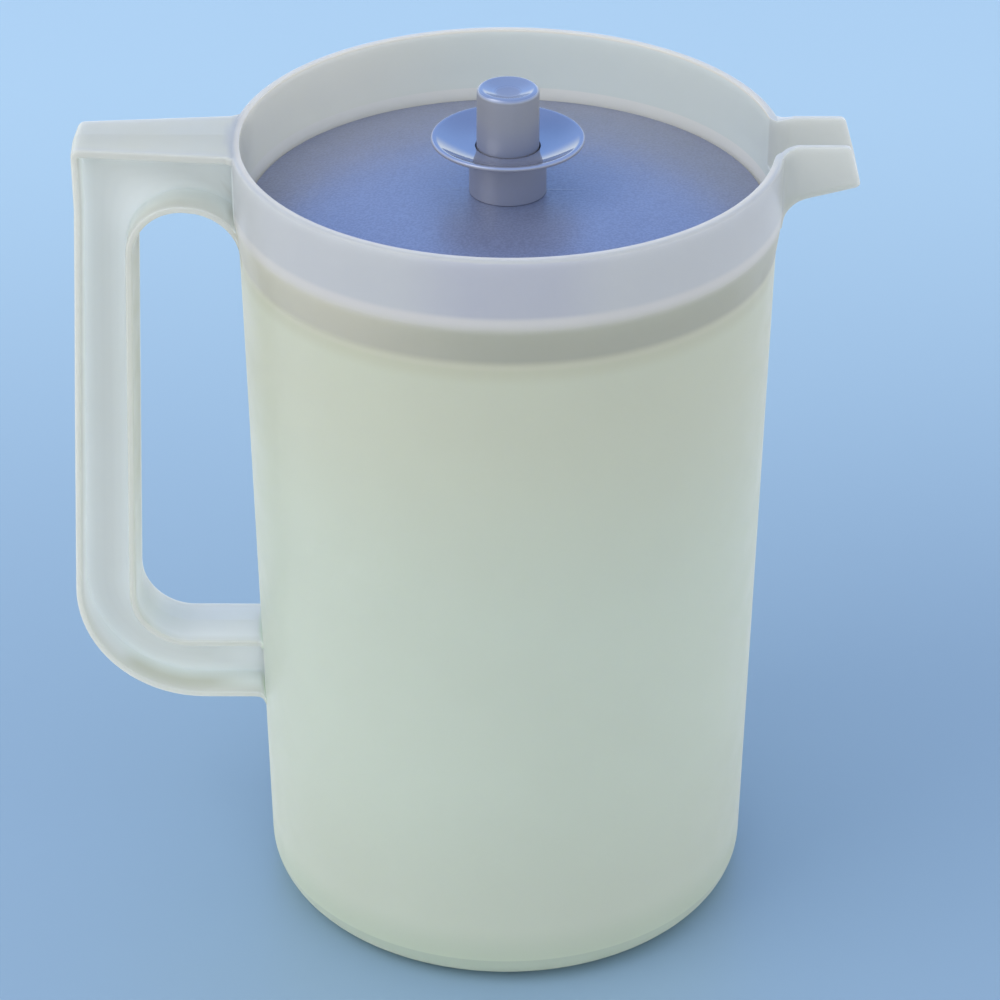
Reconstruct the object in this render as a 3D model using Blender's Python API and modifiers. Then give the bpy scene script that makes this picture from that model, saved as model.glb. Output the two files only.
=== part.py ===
"""One-gallon plastic pitcher with a push-button seal.

Metres, +Z up. The origin is the centre of the underside, on the axis of the round body.
The handle reaches out along -X and the spout along +X.
"""

import math

import bmesh
import bpy

MM = 0.001

# Working values shared by every piece
CUT_OVERRUN = 6.0 * MM
SEAT_GAP = 0.3 * MM
WELD_DISTANCE = 0.01 * MM
FULL_TURN = 2.0 * math.pi
CREASE_ANGLE = math.radians(28.0)

# Round body of the jug
RIM_HEIGHT = 257.0 * MM
RIM_RADIUS = 81.7 * MM
RIM_EDGE_ROUND = 0.9 * MM
RIM_INNER_ROUND = 0.3 * MM
RIM_WALL = 2.7 * MM
COLLAR_DEPTH = 21.6 * MM
COLLAR_FOOT_ROUND = 1.6 * MM
SHOULDER_DROP = 11.8 * MM
SHOULDER_STEP = 1.5 * MM
BODY_TAPER = 3.4 * MM
BASE_CORNER_RADIUS = 11.5 * MM
WALL = 2.4 * MM
BASE_THICKNESS = 2.8 * MM
LEDGE_DEPTH = 24.0 * MM
LEDGE_RISE = 4.2 * MM
JUG_SEGMENTS = 84
BASE_CORNER_STEPS = 6
ROUND_STEPS = 3

# Handle, an I-section moulded with the jug
HANDLE_TOP_DROP = 0.1 * MM
HANDLE_PROJECTION = 45.5 * MM
HANDLE_LEAN_ANGLE = math.radians(3.15)
THUMB_LIP_FLARE = 1.0 * MM
THUMB_LIP_RUN = 20.0 * MM
HANDLE_DEPTH = 192.3 * MM
HANDLE_CORNER_ROUND = 2.6 * MM
HANDLE_BEND_ROUND = 39.0 * MM
HANDLE_ROOT_ROUND = 4.0 * MM
GRIP_TOP_DEPTH = 17.55 * MM
GRIP_BOTTOM_DEPTH = 19.2 * MM
GRIP_HALF_WIDTH = 11.3 * MM
ARM_OUTER_HALF_WIDTH = 10.3 * MM
ARM_ROOT_HALF_WIDTH = 14.7 * MM
FLARE_START_DEPTH = 96.9 * MM
FLARE_END_DEPTH = 34.9 * MM
TOP_ARM_DEPTH = 19.1 * MM
LOWER_ARM_DEPTH = 21.6 * MM
FINGER_ARCH_ROUND = 15.9 * MM
FINGER_HEEL_ROUND = 16.5 * MM
FINGER_ARCH_STILT = 2.9 * MM
FINGER_ARCH_EMBED = 1.6 * MM
GRIP_FLANGE = 2.1 * MM
TOP_FLANGE = 2.7 * MM
LOWER_FLANGE = 2.2 * MM
HOLE_FLANGE = 2.0 * MM
WEB_THICKNESS = 2.8 * MM
OUTER_DRAFT_ANGLE = math.radians(1.2)
HOLE_DRAFT_ANGLE = math.radians(4.0)
GRIP_FLANGE_DRAFT_ANGLE = math.radians(2.0)
ARM_FLANGE_DRAFT_ANGLE = math.radians(10.0)
POCKET_MIN_ROUND = 0.8 * MM
BEND_STEPS = 10
FLARE_STEPS = 5
WIDTH_STEPS = 6
CORNER_STEPS = 4
HANDLE_ROOT_DEPTH = 9.0 * MM

# Spout, an open channel moulded with the jug
SPOUT_PROJECTION = 18.3 * MM
SPOUT_HALF_WIDTH = 11.1 * MM
SPOUT_WALL = 1.8 * MM
SPOUT_LIFT = 1.8 * MM
SPOUT_TIP_DEPTH = 13.6 * MM
SPOUT_FALL_ANGLE = math.radians(16.9)
SPOUT_FLOOR_ANGLE = math.radians(12.5)
SPOUT_END_ANGLE = math.radians(16.0)
SPOUT_SIDE_FILLET = 5.0 * MM
SPOUT_FILLET_SINK = 0.08 * MM
SPOUT_UNDER_FILLET = 9.0 * MM
SPOUT_CORNER_ROUND = 3.0 * MM
SPOUT_FLOOR_ROUND = 1.5 * MM
SPOUT_TIP_ROUND = 1.5 * MM
SPOUT_FILLET_STEPS = 6
SPOUT_EMBED = 5.0 * MM

# Seal disc, a thin flexible dome with a ribbed skirt
DISC_THICKNESS = 1.6 * MM
DISC_RISE = 5.6 * MM
DISC_LIP_HEIGHT = 0.9 * MM
DISC_LIP_ROUND = 0.35 * MM
DISC_FLAT_MARGIN = 1.2 * MM
DISC_SHOULDER_RUN = 0.8 * MM
SKIRT_DEPTH = 10.6 * MM
SKIRT_WALL = 1.3 * MM
SKIRT_RELIEF = 0.6 * MM
SKIRT_RIB_HALF_HEIGHT = 0.7 * MM
SKIRT_RIB_SHARES = (0.36, 0.74)
DISC_SEGMENTS = 64
DOME_STEPS = 6
DOME_INNER_STEPS = 3

# Grip collar, the neck and finger flange that carries the button
NECK_RADIUS = 11.5 * MM
NECK_FLOOR = 1.7 * MM
BUTTON_BORE_RADIUS = 9.9 * MM
FLANGE_RADIUS = 22.7 * MM
COLLAR_RISE = 17.6 * MM
FLANGE_LIP_WIDTH = 1.2 * MM
FLANGE_LIP_THICKNESS = 1.4 * MM
FLANGE_DISH_DEPTH = 3.0 * MM
FLANGE_WEB = 1.5 * MM
FLANGE_LIP_ROUND = 0.35 * MM
SPIGOT_RADIUS = 7.4 * MM
SPIGOT_BARB = 0.9 * MM
SPIGOT_BARB_LENGTH = 0.9 * MM
SMALL_SEGMENTS = 44
DISH_STEPS = 5

# Retaining ring that locks the collar under the disc
RING_RADIUS = 12.5 * MM
RING_THICKNESS = 1.6 * MM
RING_CHAMFER = 0.4 * MM

# Push button, a hollow cap with a dished top
BUTTON_RISE = 15.4 * MM
BUTTON_CLEARANCE = 0.6 * MM
BUTTON_TAPER = 0.1 * MM
BUTTON_EDGE_ROUND = 1.4 * MM
BUTTON_DISH_DEPTH = 1.7 * MM
BUTTON_WALL = 1.6 * MM
BUTTON_CROWN = 2.0 * MM
BUTTON_TRAVEL = 8.0 * MM
BUTTON_FLOOR_CLEARANCE = 0.4 * MM
SOCKET_WALL = 1.5 * MM
SOCKET_DEPTH = 11.0 * MM

# Expander, the stem and spreading cone under the disc
STEM_RADIUS = 4.9 * MM
STEM_BORE_RADIUS = 3.3 * MM
STEM_CHAMFER = 0.6 * MM
STEM_CROWN = 2.5 * MM
STEM_GUIDE_CLEARANCE = 0.4 * MM
HUB_OVERLAP = 1.6 * MM
CONE_WALL = 1.5 * MM
CONE_FALL = 3.6 * MM
CONE_RIM_DEPTH = 4.2 * MM
CONE_RIM_CLEARANCE = 0.5 * MM
CONE_SEGMENTS = 56

# Colour, roughness and metallic value of each plastic
MILKY_PLASTIC = ((0.56, 0.62, 0.56, 1.0), 0.38, 0.0)
DISC_PLASTIC = ((0.17, 0.22, 0.42, 1.0), 0.62, 0.0)
COLLAR_PLASTIC = ((0.20, 0.25, 0.46, 1.0), 0.24, 0.0)
BUTTON_PLASTIC = ((0.24, 0.28, 0.46, 1.0), 0.22, 0.0)
INNER_PLASTIC = ((0.19, 0.24, 0.44, 1.0), 0.45, 0.0)

# Sizes that follow from the ones above
COLLAR_FOOT_HEIGHT = RIM_HEIGHT - COLLAR_DEPTH
SHOULDER_FOOT_HEIGHT = COLLAR_FOOT_HEIGHT - SHOULDER_DROP
LEDGE_FOOT_HEIGHT = RIM_HEIGHT - LEDGE_DEPTH
BODY_TOP_RADIUS = RIM_RADIUS - SHOULDER_STEP
BODY_FOOT_RADIUS = BODY_TOP_RADIUS - BODY_TAPER
BODY_DRAFT_RISE = SHOULDER_FOOT_HEIGHT - BASE_CORNER_RADIUS
BODY_DRAFT = (BODY_TOP_RADIUS - BODY_FOOT_RADIUS) / BODY_DRAFT_RISE
THROAT_RADIUS = BODY_TOP_RADIUS - WALL
COLLAR_BORE_RADIUS = RIM_RADIUS - RIM_WALL
LEDGE_TOP_HEIGHT = LEDGE_FOOT_HEIGHT + LEDGE_RISE
LEDGE_SLOPE = (COLLAR_BORE_RADIUS - THROAT_RADIUS) / LEDGE_RISE
LEDGE_GAP = SEAT_GAP * math.hypot(1.0, LEDGE_SLOPE)

HANDLE_TOP_HEIGHT = RIM_HEIGHT - HANDLE_TOP_DROP
HANDLE_TOP_REACH = RIM_RADIUS + HANDLE_PROJECTION
HANDLE_BOTTOM_HEIGHT = HANDLE_TOP_HEIGHT - HANDLE_DEPTH
FLARE_START_HEIGHT = HANDLE_TOP_HEIGHT - FLARE_START_DEPTH
FLARE_END_HEIGHT = HANDLE_TOP_HEIGHT - FLARE_END_DEPTH
FINGER_HOLE_TOP = HANDLE_TOP_HEIGHT - TOP_ARM_DEPTH
FINGER_HOLE_BOTTOM = HANDLE_BOTTOM_HEIGHT + LOWER_ARM_DEPTH
FINGER_ARCH_SPRING = FINGER_HOLE_TOP - FINGER_ARCH_ROUND - FINGER_ARCH_STILT
SPOUT_TOP_HEIGHT = RIM_HEIGHT + SPOUT_LIFT
SPOUT_REACH = RIM_RADIUS + SPOUT_PROJECTION

LIP_TOP_HEIGHT = LEDGE_FOOT_HEIGHT + DISC_LIP_HEIGHT
LIP_TOP_RADIUS = THROAT_RADIUS + DISC_LIP_HEIGHT * LEDGE_SLOPE - LEDGE_GAP
LIP_FOOT_RADIUS = THROAT_RADIUS - LEDGE_GAP
SKIRT_RADIUS = LIP_FOOT_RADIUS - SKIRT_RELIEF
SKIRT_FOOT_HEIGHT = LIP_TOP_HEIGHT - SKIRT_DEPTH
SKIRT_BORE_RADIUS = SKIRT_RADIUS - SKIRT_WALL
DISC_CROWN_HEIGHT = LIP_TOP_HEIGHT + DISC_RISE
DISC_FLAT_RADIUS = NECK_RADIUS + DISC_FLAT_MARGIN
DISC_HOLE_RADIUS = SPIGOT_RADIUS + SEAT_GAP

NECK_BASE_HEIGHT = DISC_CROWN_HEIGHT + SEAT_GAP
BORE_FLOOR_HEIGHT = NECK_BASE_HEIGHT + NECK_FLOOR
FLANGE_TOP_HEIGHT = DISC_CROWN_HEIGHT + COLLAR_RISE
DISH_FLOOR_HEIGHT = FLANGE_TOP_HEIGHT - FLANGE_DISH_DEPTH
RING_TOP_HEIGHT = DISC_CROWN_HEIGHT - DISC_THICKNESS - SEAT_GAP
RING_FOOT_HEIGHT = RING_TOP_HEIGHT - RING_THICKNESS
BARB_TOP_HEIGHT = RING_FOOT_HEIGHT - SEAT_GAP
SPIGOT_FOOT_HEIGHT = BARB_TOP_HEIGHT - SPIGOT_BARB_LENGTH
STEM_GUIDE_RADIUS = STEM_RADIUS + STEM_GUIDE_CLEARANCE

BUTTON_RADIUS = BUTTON_BORE_RADIUS - BUTTON_CLEARANCE
BUTTON_TOP_RADIUS = BUTTON_RADIUS - BUTTON_TAPER
BUTTON_TOP_HEIGHT = FLANGE_TOP_HEIGHT + BUTTON_RISE
BUTTON_FOOT_HEIGHT = BORE_FLOOR_HEIGHT + BUTTON_TRAVEL + BUTTON_FLOOR_CLEARANCE
BUTTON_CEILING_HEIGHT = BUTTON_TOP_HEIGHT - BUTTON_DISH_DEPTH - BUTTON_CROWN
SOCKET_BORE_RADIUS = STEM_RADIUS + SEAT_GAP
SOCKET_RADIUS = SOCKET_BORE_RADIUS + SOCKET_WALL
STEM_TOP_HEIGHT = BUTTON_CEILING_HEIGHT - SEAT_GAP
HUB_TOP_HEIGHT = SPIGOT_FOOT_HEIGHT - SEAT_GAP
HUB_RADIUS = SPIGOT_RADIUS + HUB_OVERLAP
CONE_RADIUS = SKIRT_BORE_RADIUS - CONE_RIM_CLEARANCE
CONE_EDGE_HEIGHT = HUB_TOP_HEIGHT - CONE_FALL


def start_empty():
    """Remove every object of the file and make the collections for parts and cutters."""
    for item in list(bpy.data.objects):
        bpy.data.objects.remove(item, do_unlink=True)
    parts = bpy.data.collections.new("pitcher")
    cutters = bpy.data.collections.new("cutters")
    for group in (parts, cutters):
        bpy.context.scene.collection.children.link(group)
    return parts, cutters


def plastic(name, finish):
    """Principled plastic from its colour, roughness and metallic value."""
    colour, roughness, metallic = finish
    material = bpy.data.materials.new(name)
    material.use_nodes = True
    shader = material.node_tree.nodes["Principled BSDF"]
    shader.inputs["Base Color"].default_value = colour
    shader.inputs["Roughness"].default_value = roughness
    shader.inputs["Metallic"].default_value = metallic
    return material


def add_object(name, mesh, group, material=None):
    """Put a mesh into the file as an object of the given collection."""
    item = bpy.data.objects.new(name, mesh)
    group.objects.link(item)
    if material:
        mesh.materials.append(material)
    return item


def as_cutter(item):
    """Keep a helper solid out of the render and show it as wires."""
    item.hide_render = True
    item.display_type = "WIRE"
    return item


def combine(item, tool, operation):
    """Boolean of the item with a helper solid."""
    step = item.modifiers.new(operation.lower() + "_" + tool.name, "BOOLEAN")
    step.operation = operation
    step.solver = "EXACT"
    step.object = tool


def crisp_edges():
    """Node group that marks every edge sharper than the crease angle as sharp."""
    group = bpy.data.node_groups.new("crisp_edges", "GeometryNodeTree")
    group.is_modifier = True
    for way in ("INPUT", "OUTPUT"):
        group.interface.new_socket("Geometry", in_out=way, socket_type="NodeSocketGeometry")
    source = group.nodes.new("NodeGroupInput")
    bend = group.nodes.new("GeometryNodeInputMeshEdgeAngle")
    sharper = group.nodes.new("FunctionNodeCompare")
    sharper.data_type = "FLOAT"
    sharper.operation = "GREATER_THAN"
    sharper.inputs["B"].default_value = CREASE_ANGLE
    shade = group.nodes.new("GeometryNodeSetShadeSmooth")
    shade.domain = "EDGE"
    shade.inputs["Shade Smooth"].default_value = False
    result = group.nodes.new("NodeGroupOutput")
    links = group.links
    links.new(source.outputs["Geometry"], shade.inputs["Geometry"])
    links.new(bend.outputs["Unsigned Angle"], sharper.inputs["A"])
    links.new(sharper.outputs["Result"], shade.inputs["Selection"])
    links.new(shade.outputs["Geometry"], result.inputs["Geometry"])
    return group


def add_turned(name, outline, segments, group, material=None, closed=False):
    """Solid of revolution about Z from (radius, height) points that run down its outer side."""
    mesh = bpy.data.meshes.new(name)
    edges = [(k, k + 1) for k in range(len(outline) - 1)]
    if closed:
        edges.append((len(outline) - 1, 0))
    mesh.from_pydata([(radius, 0.0, height) for radius, height in outline], edges, [])
    item = add_object(name, mesh, group, material)
    spin = item.modifiers.new("turn", "SCREW")
    spin.axis = "Z"
    spin.angle = FULL_TURN
    spin.screw_offset = 0.0
    spin.steps = segments
    spin.render_steps = segments
    spin.use_merge_vertices = True
    spin.merge_threshold = WELD_DISTANCE
    spin.use_smooth_shade = True
    return item


def arc(centre, radius, start, end, steps):
    """Points of a circular arc, both ends included."""
    points = []
    for k in range(steps + 1):
        angle = start + (end - start) * k / steps
        points.append((centre[0] + radius * math.cos(angle), centre[1] + radius * math.sin(angle)))
    return points


def rounded_outline(corners):
    """Closed outline from corners (x, z, round, steps), each corner turned into an arc."""
    points = []
    count = len(corners)
    for k, (x, z, radius, steps) in enumerate(corners):
        before = corners[k - 1]
        after = corners[(k + 1) % count]
        to_before = math.atan2(before[1] - z, before[0] - x)
        to_after = math.atan2(after[1] - z, after[0] - x)
        turn = (to_after - to_before) % FULL_TURN
        if radius == 0.0:
            points.append((x, z))
            continue
        half = turn / 2.0 if turn < math.pi else turn / 2.0 - math.pi
        reach = radius / abs(math.sin(half))
        middle = to_before + half
        centre = (x + reach * math.cos(middle), z + reach * math.sin(middle))
        side = math.copysign(math.pi / 2.0, half)
        start = to_before - side
        sweep = -math.copysign(math.pi, half) + 2.0 * half
        points.extend(arc(centre, radius, start, start + sweep, steps))
    return points


def lofted(name, rings):
    """Closed solid through rings of equally many points, with flat end caps."""
    mesh = bpy.data.meshes.new(name)
    build = bmesh.new()
    rows = [[build.verts.new(point) for point in ring] for ring in rings]
    count = len(rows[0])
    for lower, upper in zip(rows, rows[1:]):
        for k in range(count):
            after = (k + 1) % count
            build.faces.new((lower[k], lower[after], upper[after], upper[k]))
    build.faces.new(rows[0])
    build.faces.new(list(reversed(rows[-1])))
    bmesh.ops.recalc_face_normals(build, faces=build.faces)
    build.to_mesh(mesh)
    build.free()
    return mesh


def slab(name, levels):
    """Solid through outlines in the XZ plane, each given with its place along Y."""
    return lofted(name, [[(x, place, z) for x, z in outline] for place, outline in levels])


def body_radius(height):
    """Outer radius of the tapered body at a height."""
    return BODY_FOOT_RADIUS + (height - BASE_CORNER_RADIUS) * BODY_DRAFT


def jug_outside():
    """Outer profile of the jug: rim, collar, sloping shoulder, tapered body, rounded base."""
    top_round = (RIM_RADIUS - RIM_EDGE_ROUND, RIM_HEIGHT - RIM_EDGE_ROUND)
    shoulder_run = RIM_RADIUS - BODY_TOP_RADIUS
    shoulder_drop = COLLAR_FOOT_HEIGHT - SHOULDER_FOOT_HEIGHT
    soften = COLLAR_FOOT_ROUND
    points = [(0.0, RIM_HEIGHT)]
    points += arc(top_round, RIM_EDGE_ROUND, math.pi / 2.0, 0.0, ROUND_STEPS)
    points.append((RIM_RADIUS, COLLAR_FOOT_HEIGHT + soften))
    points.append((RIM_RADIUS - soften * shoulder_run / shoulder_drop, COLLAR_FOOT_HEIGHT - soften))
    points.append((BODY_TOP_RADIUS, SHOULDER_FOOT_HEIGHT))
    centre = (BODY_FOOT_RADIUS - BASE_CORNER_RADIUS, BASE_CORNER_RADIUS)
    points += arc(centre, BASE_CORNER_RADIUS, 0.0, -math.pi / 2.0, BASE_CORNER_STEPS)
    points.append((0.0, 0.0))
    return points


def jug_inside():
    """Profile of the hollow: flared rim edge, collar bore, sealing ledge, tapered bore."""
    inner_round = BASE_CORNER_RADIUS - WALL
    foot_height = BASE_THICKNESS + inner_round
    foot_radius = body_radius(foot_height) - WALL
    rim_centre = (COLLAR_BORE_RADIUS + RIM_INNER_ROUND, RIM_HEIGHT - RIM_INNER_ROUND)
    above = RIM_HEIGHT + CUT_OVERRUN
    points = [(0.0, above), (COLLAR_BORE_RADIUS + RIM_INNER_ROUND, above)]
    points += arc(rim_centre, RIM_INNER_ROUND, math.pi / 2.0, math.pi, ROUND_STEPS)
    points.append((COLLAR_BORE_RADIUS, LEDGE_TOP_HEIGHT))
    points.append((THROAT_RADIUS, LEDGE_FOOT_HEIGHT))
    points.append((body_radius(SHOULDER_FOOT_HEIGHT) - WALL, SHOULDER_FOOT_HEIGHT))
    centre = (foot_radius - inner_round, foot_height)
    points += arc(centre, inner_round, 0.0, -math.pi / 2.0, BASE_CORNER_STEPS)
    points.append((0.0, BASE_THICKNESS))
    return points


def handle_line(height):
    """Place along X of the leaning outer face of the handle, flared to a lip near the top."""
    below = HANDLE_TOP_HEIGHT - height
    flare = THUMB_LIP_FLARE * max(1.0 - below / THUMB_LIP_RUN, 0.0)
    return -(HANDLE_TOP_REACH + below * math.tan(HANDLE_LEAN_ANGLE) + flare)


def handle_outer(inset, top_inset, bottom_inset):
    """Outer outline of the handle, drawn in by an inset at its side, top and bottom."""
    root = -(BODY_FOOT_RADIUS - HANDLE_ROOT_DEPTH)
    top = HANDLE_TOP_HEIGHT - top_inset
    bottom = HANDLE_BOTTOM_HEIGHT + bottom_inset
    lip_foot = HANDLE_TOP_HEIGHT - THUMB_LIP_RUN
    wall_line = -(body_radius(bottom) - FINGER_ARCH_EMBED)
    below = bottom - 2.0 * HANDLE_ROOT_ROUND
    corner = max(HANDLE_CORNER_ROUND - inset, POCKET_MIN_ROUND)
    bend = HANDLE_BEND_ROUND - inset
    return rounded_outline([
        (root, top, 0.0, 0),
        (handle_line(top) + inset, top, corner, CORNER_STEPS),
        (handle_line(lip_foot) + inset, lip_foot, 0.0, 0),
        (handle_line(bottom) + inset, bottom, bend, BEND_STEPS),
        (wall_line, bottom, HANDLE_ROOT_ROUND, CORNER_STEPS),
        (wall_line, below, 0.0, 0),
        (root, below, 0.0, 0),
    ])


def finger_hole(growth):
    """Outline of the finger hole, grown by the given amount."""
    root = -(BODY_FOOT_RADIUS - HANDLE_ROOT_DEPTH)
    top = FINGER_HOLE_TOP + growth
    bottom = FINGER_HOLE_BOTTOM - growth
    upper_grip = handle_line(FINGER_HOLE_TOP) + GRIP_TOP_DEPTH - growth
    lower_grip = handle_line(FINGER_HOLE_BOTTOM) + GRIP_BOTTOM_DEPTH - growth
    arch_side = -(BODY_TOP_RADIUS - FINGER_ARCH_EMBED)
    return rounded_outline([
        (arch_side + growth, top, FINGER_ARCH_ROUND + growth, BEND_STEPS),
        (upper_grip, top, FINGER_ARCH_ROUND + growth, BEND_STEPS),
        (lower_grip, bottom, FINGER_HEEL_ROUND + growth, BEND_STEPS),
        (root, bottom, 0.0, 0),
        (root, FINGER_ARCH_SPRING, 0.0, 0),
        (arch_side + growth, FINGER_ARCH_SPRING, 0.0, 0),
    ])


def arm_half_width(place, height):
    """Half width of the handle: even down the grip, wider where the top arm meets the rim."""
    share = (height - FLARE_START_HEIGHT) / (FLARE_END_HEIGHT - FLARE_START_HEIGHT)
    share = min(max(share, 0.0), 1.0)
    share = share * share * (3.0 - 2.0 * share)
    run = (place + HANDLE_TOP_REACH) / (HANDLE_TOP_REACH - RIM_RADIUS)
    flared = ARM_OUTER_HALF_WIDTH + (ARM_ROOT_HALF_WIDTH - ARM_OUTER_HALF_WIDTH) * run
    return GRIP_HALF_WIDTH + (flared - GRIP_HALF_WIDTH) * share


def handle_width_envelope():
    """Block that trims the handle to its half width, as stacked rings of points along X."""
    outer = -(HANDLE_TOP_REACH + HANDLE_BEND_ROUND)
    inner = -(BODY_FOOT_RADIUS - HANDLE_ROOT_DEPTH - CUT_OVERRUN)
    lowest = HANDLE_BOTTOM_HEIGHT - 2.0 * HANDLE_ROOT_ROUND - CUT_OVERRUN
    highest = RIM_HEIGHT + CUT_OVERRUN
    heights = [lowest]
    for k in range(FLARE_STEPS + 1):
        share = k / FLARE_STEPS
        heights.append(FLARE_START_HEIGHT + (FLARE_END_HEIGHT - FLARE_START_HEIGHT) * share)
    heights.append(highest)
    places = [outer + (inner - outer) * k / WIDTH_STEPS for k in range(WIDTH_STEPS + 1)]
    rings = []
    for height in heights:
        near = [(place, -arm_half_width(place, height), height) for place in places]
        far = [(place, arm_half_width(place, height), height) for place in reversed(places)]
        rings.append(near + far)
    return lofted("handle_width", rings)


def handle_pockets(group):
    """Cutter for the recess on each side of the web, leaving a flange all round."""
    web = WEB_THICKNESS / 2.0
    side = ARM_ROOT_HALF_WIDTH + CUT_OVERRUN

    def pocket(place):
        grip_slant = (GRIP_HALF_WIDTH - place) * math.tan(GRIP_FLANGE_DRAFT_ANGLE)
        arm_slant = (GRIP_HALF_WIDTH - place) * math.tan(ARM_FLANGE_DRAFT_ANGLE)
        return place, handle_outer(GRIP_FLANGE + grip_slant, TOP_FLANGE + grip_slant,
                                   max(LOWER_FLANGE + arm_slant, SEAT_GAP))

    def hole_flange(place):
        slant = (GRIP_HALF_WIDTH - place) * math.tan(GRIP_FLANGE_DRAFT_ANGLE)
        return place, finger_hole(HOLE_FLANGE + slant)

    below = web / 2.0
    above = side + CUT_OVERRUN
    pockets = add_object("handle_pockets", slab("handle_pockets", [
        pocket(web), pocket(GRIP_HALF_WIDTH), pocket(side),
    ]), group)
    island = add_object("hole_flange", slab("hole_flange", [
        hole_flange(below), hole_flange(above),
    ]), group)
    combine(pockets, as_cutter(island), "DIFFERENCE")
    mirror = pockets.modifiers.new("both_sides", "MIRROR")
    mirror.use_axis[0] = False
    mirror.use_axis[1] = True
    mirror.merge_threshold = WELD_DISTANCE
    return as_cutter(pockets)


def handle_blank(group):
    """The handle before it joins the jug: drafted slab, finger hole, recessed sides."""
    side = ARM_ROOT_HALF_WIDTH + CUT_OVERRUN
    beyond = side + CUT_OVERRUN
    crown = GRIP_HALF_WIDTH * math.tan(OUTER_DRAFT_ANGLE)
    fall = (side - GRIP_HALF_WIDTH) * math.tan(OUTER_DRAFT_ANGLE)
    blank = add_object("handle_blank", slab("handle_blank", [
        (-side, handle_outer(fall, fall, fall)),
        (0.0, handle_outer(-crown, -crown, -crown)),
        (side, handle_outer(fall, fall, fall)),
    ]), group)
    narrowing = GRIP_HALF_WIDTH * math.tan(HOLE_DRAFT_ANGLE)
    widening = (beyond - GRIP_HALF_WIDTH) * math.tan(HOLE_DRAFT_ANGLE)
    hole = add_object("finger_hole", slab("finger_hole", [
        (-beyond, finger_hole(widening)),
        (0.0, finger_hole(-narrowing)),
        (beyond, finger_hole(widening)),
    ]), group)
    envelope = add_object("handle_width", handle_width_envelope(), group)
    combine(blank, as_cutter(envelope), "INTERSECT")
    combine(blank, as_cutter(hole), "DIFFERENCE")
    combine(blank, handle_pockets(group), "DIFFERENCE")
    return as_cutter(blank)


def spout_stations(wall_radius, half_width, fillet, tip):
    """Places along X of the spout's sections, each with the half width and the lift there."""
    centre = math.sqrt((wall_radius + fillet) ** 2 - (half_width + fillet) ** 2)
    start = centre * wall_radius / (wall_radius + fillet)
    first = math.acos((centre - start) / fillet)
    stations = []
    for k in range(SPOUT_FILLET_STEPS + 1):
        angle = first + (math.pi / 2.0 - first) * k / SPOUT_FILLET_STEPS
        place = centre - fillet * math.cos(angle)
        lift = SPOUT_LIFT * k / SPOUT_FILLET_STEPS
        stations.append((place, half_width + fillet - fillet * math.sin(angle), lift))
    stations.insert(0, (start - SPOUT_EMBED, stations[0][1], 0.0))
    middle_shares = (0.3, 0.6, 0.85)
    for share in middle_shares:
        stations.append((centre + (tip - centre) * share, half_width, SPOUT_LIFT))
    stations.append((tip, half_width, SPOUT_LIFT))
    return stations


def spout_underside(place):
    """Height of the spout's underside, with the fillet that sweeps it into the wall."""
    slope = math.tan(SPOUT_FALL_ANGLE)
    tip_height = SPOUT_TOP_HEIGHT - SPOUT_TIP_DEPTH
    wall = math.sqrt(RIM_RADIUS ** 2 - SPOUT_HALF_WIDTH ** 2)
    centre = wall + SPOUT_UNDER_FILLET
    line_height = tip_height - (SPOUT_REACH - centre) * slope
    centre_height = line_height - SPOUT_UNDER_FILLET / math.cos(SPOUT_FALL_ANGLE)
    if place >= centre - SPOUT_UNDER_FILLET * math.sin(SPOUT_FALL_ANGLE):
        return tip_height - (SPOUT_REACH - place) * slope
    reach = min(centre - place, SPOUT_UNDER_FILLET)
    return centre_height + math.sqrt(SPOUT_UNDER_FILLET ** 2 - reach ** 2)


def spout_section(place, half_width, bottom, top, corner, lean):
    """One U-shaped section of the spout, leaning outward towards its bottom."""
    outline = [(half_width, top), (-half_width, top)]
    left = (-half_width + corner, bottom + corner)
    right = (half_width - corner, bottom + corner)
    outline += arc(left, corner, math.pi, 1.5 * math.pi, CORNER_STEPS)
    outline += arc(right, corner, -math.pi / 2.0, 0.0, CORNER_STEPS)
    return [(place + (SPOUT_TOP_HEIGHT - z) * lean, y, z) for y, z in outline]


def spout_lean(place):
    """Lean of a section: upright at the wall, the full lean at the tip."""
    share = (place - RIM_RADIUS) / (SPOUT_REACH - RIM_RADIUS)
    return math.tan(SPOUT_END_ANGLE) * min(max(share, 0.0), 1.0)


def spout_outside():
    """Outer solid of the spout, lofted from inside the wall to its rounded tip."""
    straight_end = SPOUT_REACH - SPOUT_TIP_ROUND
    wall_radius = RIM_RADIUS - SPOUT_FILLET_SINK
    stations = spout_stations(wall_radius, SPOUT_HALF_WIDTH, SPOUT_SIDE_FILLET, straight_end)
    rings = []
    for place, half_width, lift in stations:
        rings.append(spout_section(place, half_width, spout_underside(place),
                                   RIM_HEIGHT + lift, SPOUT_CORNER_ROUND, spout_lean(place)))
    for place, height in arc((straight_end, SPOUT_TOP_HEIGHT - SPOUT_TIP_ROUND), SPOUT_TIP_ROUND,
                             math.pi / 2.0, 0.0, CORNER_STEPS)[1:]:
        rings.append(spout_section(place, SPOUT_HALF_WIDTH, spout_underside(place), height,
                                   SPOUT_CORNER_ROUND, spout_lean(place)))
    return lofted("spout", rings)


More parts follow.
